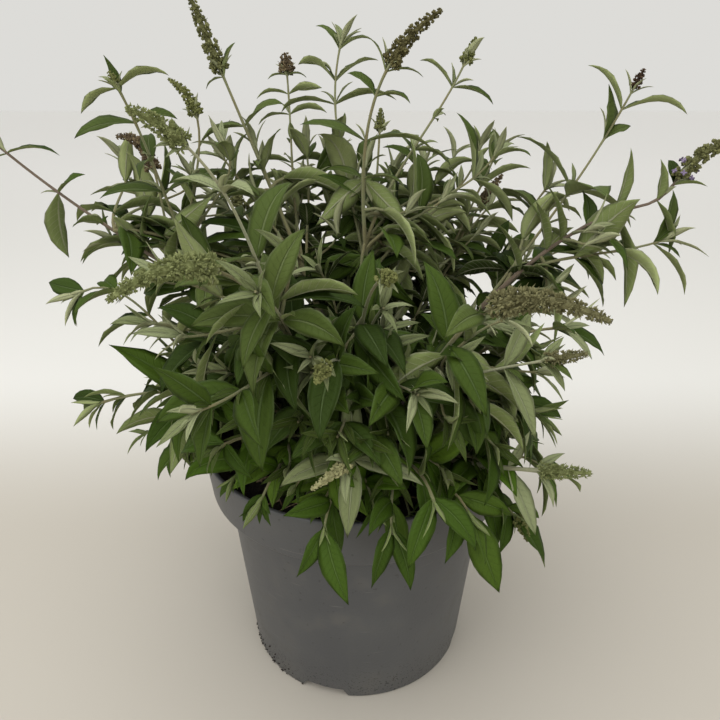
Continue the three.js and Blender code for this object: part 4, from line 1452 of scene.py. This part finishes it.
def add_spike(heap, shoot):
    """A spike: tiers of clusters, each cluster a tuft of buds that point outwards and forwards."""
    length, widest, clusters, narrowing, tint = shoot.spike
    tuft, bud_share, bud_width, bract_chance, tier_gap = FUZZY if tint.startswith("fuzzy") else TIGHT
    axis = shoot.way.at(np.linspace(shoot.end, shoot.way.length, CORE_ROWS))
    way, across, third = frames_along(axis)
    heap.add(*limb_shape(axis, np.linspace(widest * CORE_SHARE, widest * CORE_TIP, CORE_ROWS), 6))
    place, tier = 0.0, 0
    while place < length:
        share = place / length
        row = min(CORE_ROWS - 1, int(share * CORE_ROWS))
        radius = widest * (1 - narrowing * share) * math.sqrt(1 - TIP_ROUNDING * share ** 6)
        radius *= luck.uniform(*TIER_SIZES)
        count = max(4, round(clusters * (1 - TIP_THINNING * share)))
        for k in range(count):
            turn = 2 * math.pi * (k + 0.5 * (tier % 2)) / count + luck.normal(0, CLUSTER_TURN)
            out = across[row] * math.cos(turn) + third[row] * math.sin(turn)
            middle = axis[row] + out * radius * CLUSTER_PLACE
            middle = middle + way[row] * luck.normal(0, radius * CLUSTER_SHIFT)
            for _ in range(tuft):
                lean = BUD_LEAN[0] + BUD_LEAN[1] * share
                bud_way = unit(out + way[row] * lean + luck.normal(0, BUD_SCATTER, 3))
                size = radius * bud_share * luck.uniform(*BUD_SIZES)
                add_bud(heap, middle + bud_way * radius * BUD_PLACE, bud_way, size, size * bud_width)
            if shoot.spike is ENDINGS["lilac"] and share < OPEN_SHARE and luck.random() < OPEN_CHANCE:
                floret_way = unit(out + way[row] * OPEN_LEAN)
                add_floret(bud_heaps["lilac"], middle + out * radius * OPEN_PLACE, floret_way)
            if luck.random() < bract_chance:
                bract_way = unit(out + way[row] * luck.uniform(*BRACT_LEAN))
                add_bud(heap, middle, bract_way, radius * BRACT_LENGTH, BRACT_WIDTH)
        place += tier_gap * radius + TIER_SPACE
        tier += 1


# Each tint of bud: its light and its dark parts.
BUD_TINTS = {
    "green": ("7a7d4c", "5f6336"),
    "fuzzy green": ("898f5f", "6a7044"),
    "fuzzy brown": ("7f7c58", "636040"),
    "olive": ("76774c", "575836"),
    "dark olive": ("68633f", "4a4629"),
    "brown": ("75674c", "4f4332"),
    "dark": ("57432f", "362920"),
    "pale": ("aaa87c", "8a8860"),
    "lilac": ("857892", "65596f"),
}


def bud_finish(name, code, shade_code):
    finish = Finish(name, 0.8, Specular_IOR_Level=0.2)
    mottle = finish.noise(260, 3)
    finish.feed("Base Color", mottle.step(0.4, 0.62).between(colour(shade_code), colour(code)))
    finish.relief(mottle, 0.0004)
    return finish.material


bud_heaps = {tint: Heap() for tint in BUD_TINTS}
for shoot in shoots:
    if shoot.spike:
        add_spike(bud_heaps[shoot.spike[-1]], shoot)

for tint, heap in bud_heaps.items():
    piece = heap.piece(f"buds_{tint.replace(' ', '_')}", [bud_finish(f"{tint} buds", *BUD_TINTS[tint])])

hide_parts(*(f"mass_{name}" for name, *_ in MASSES))
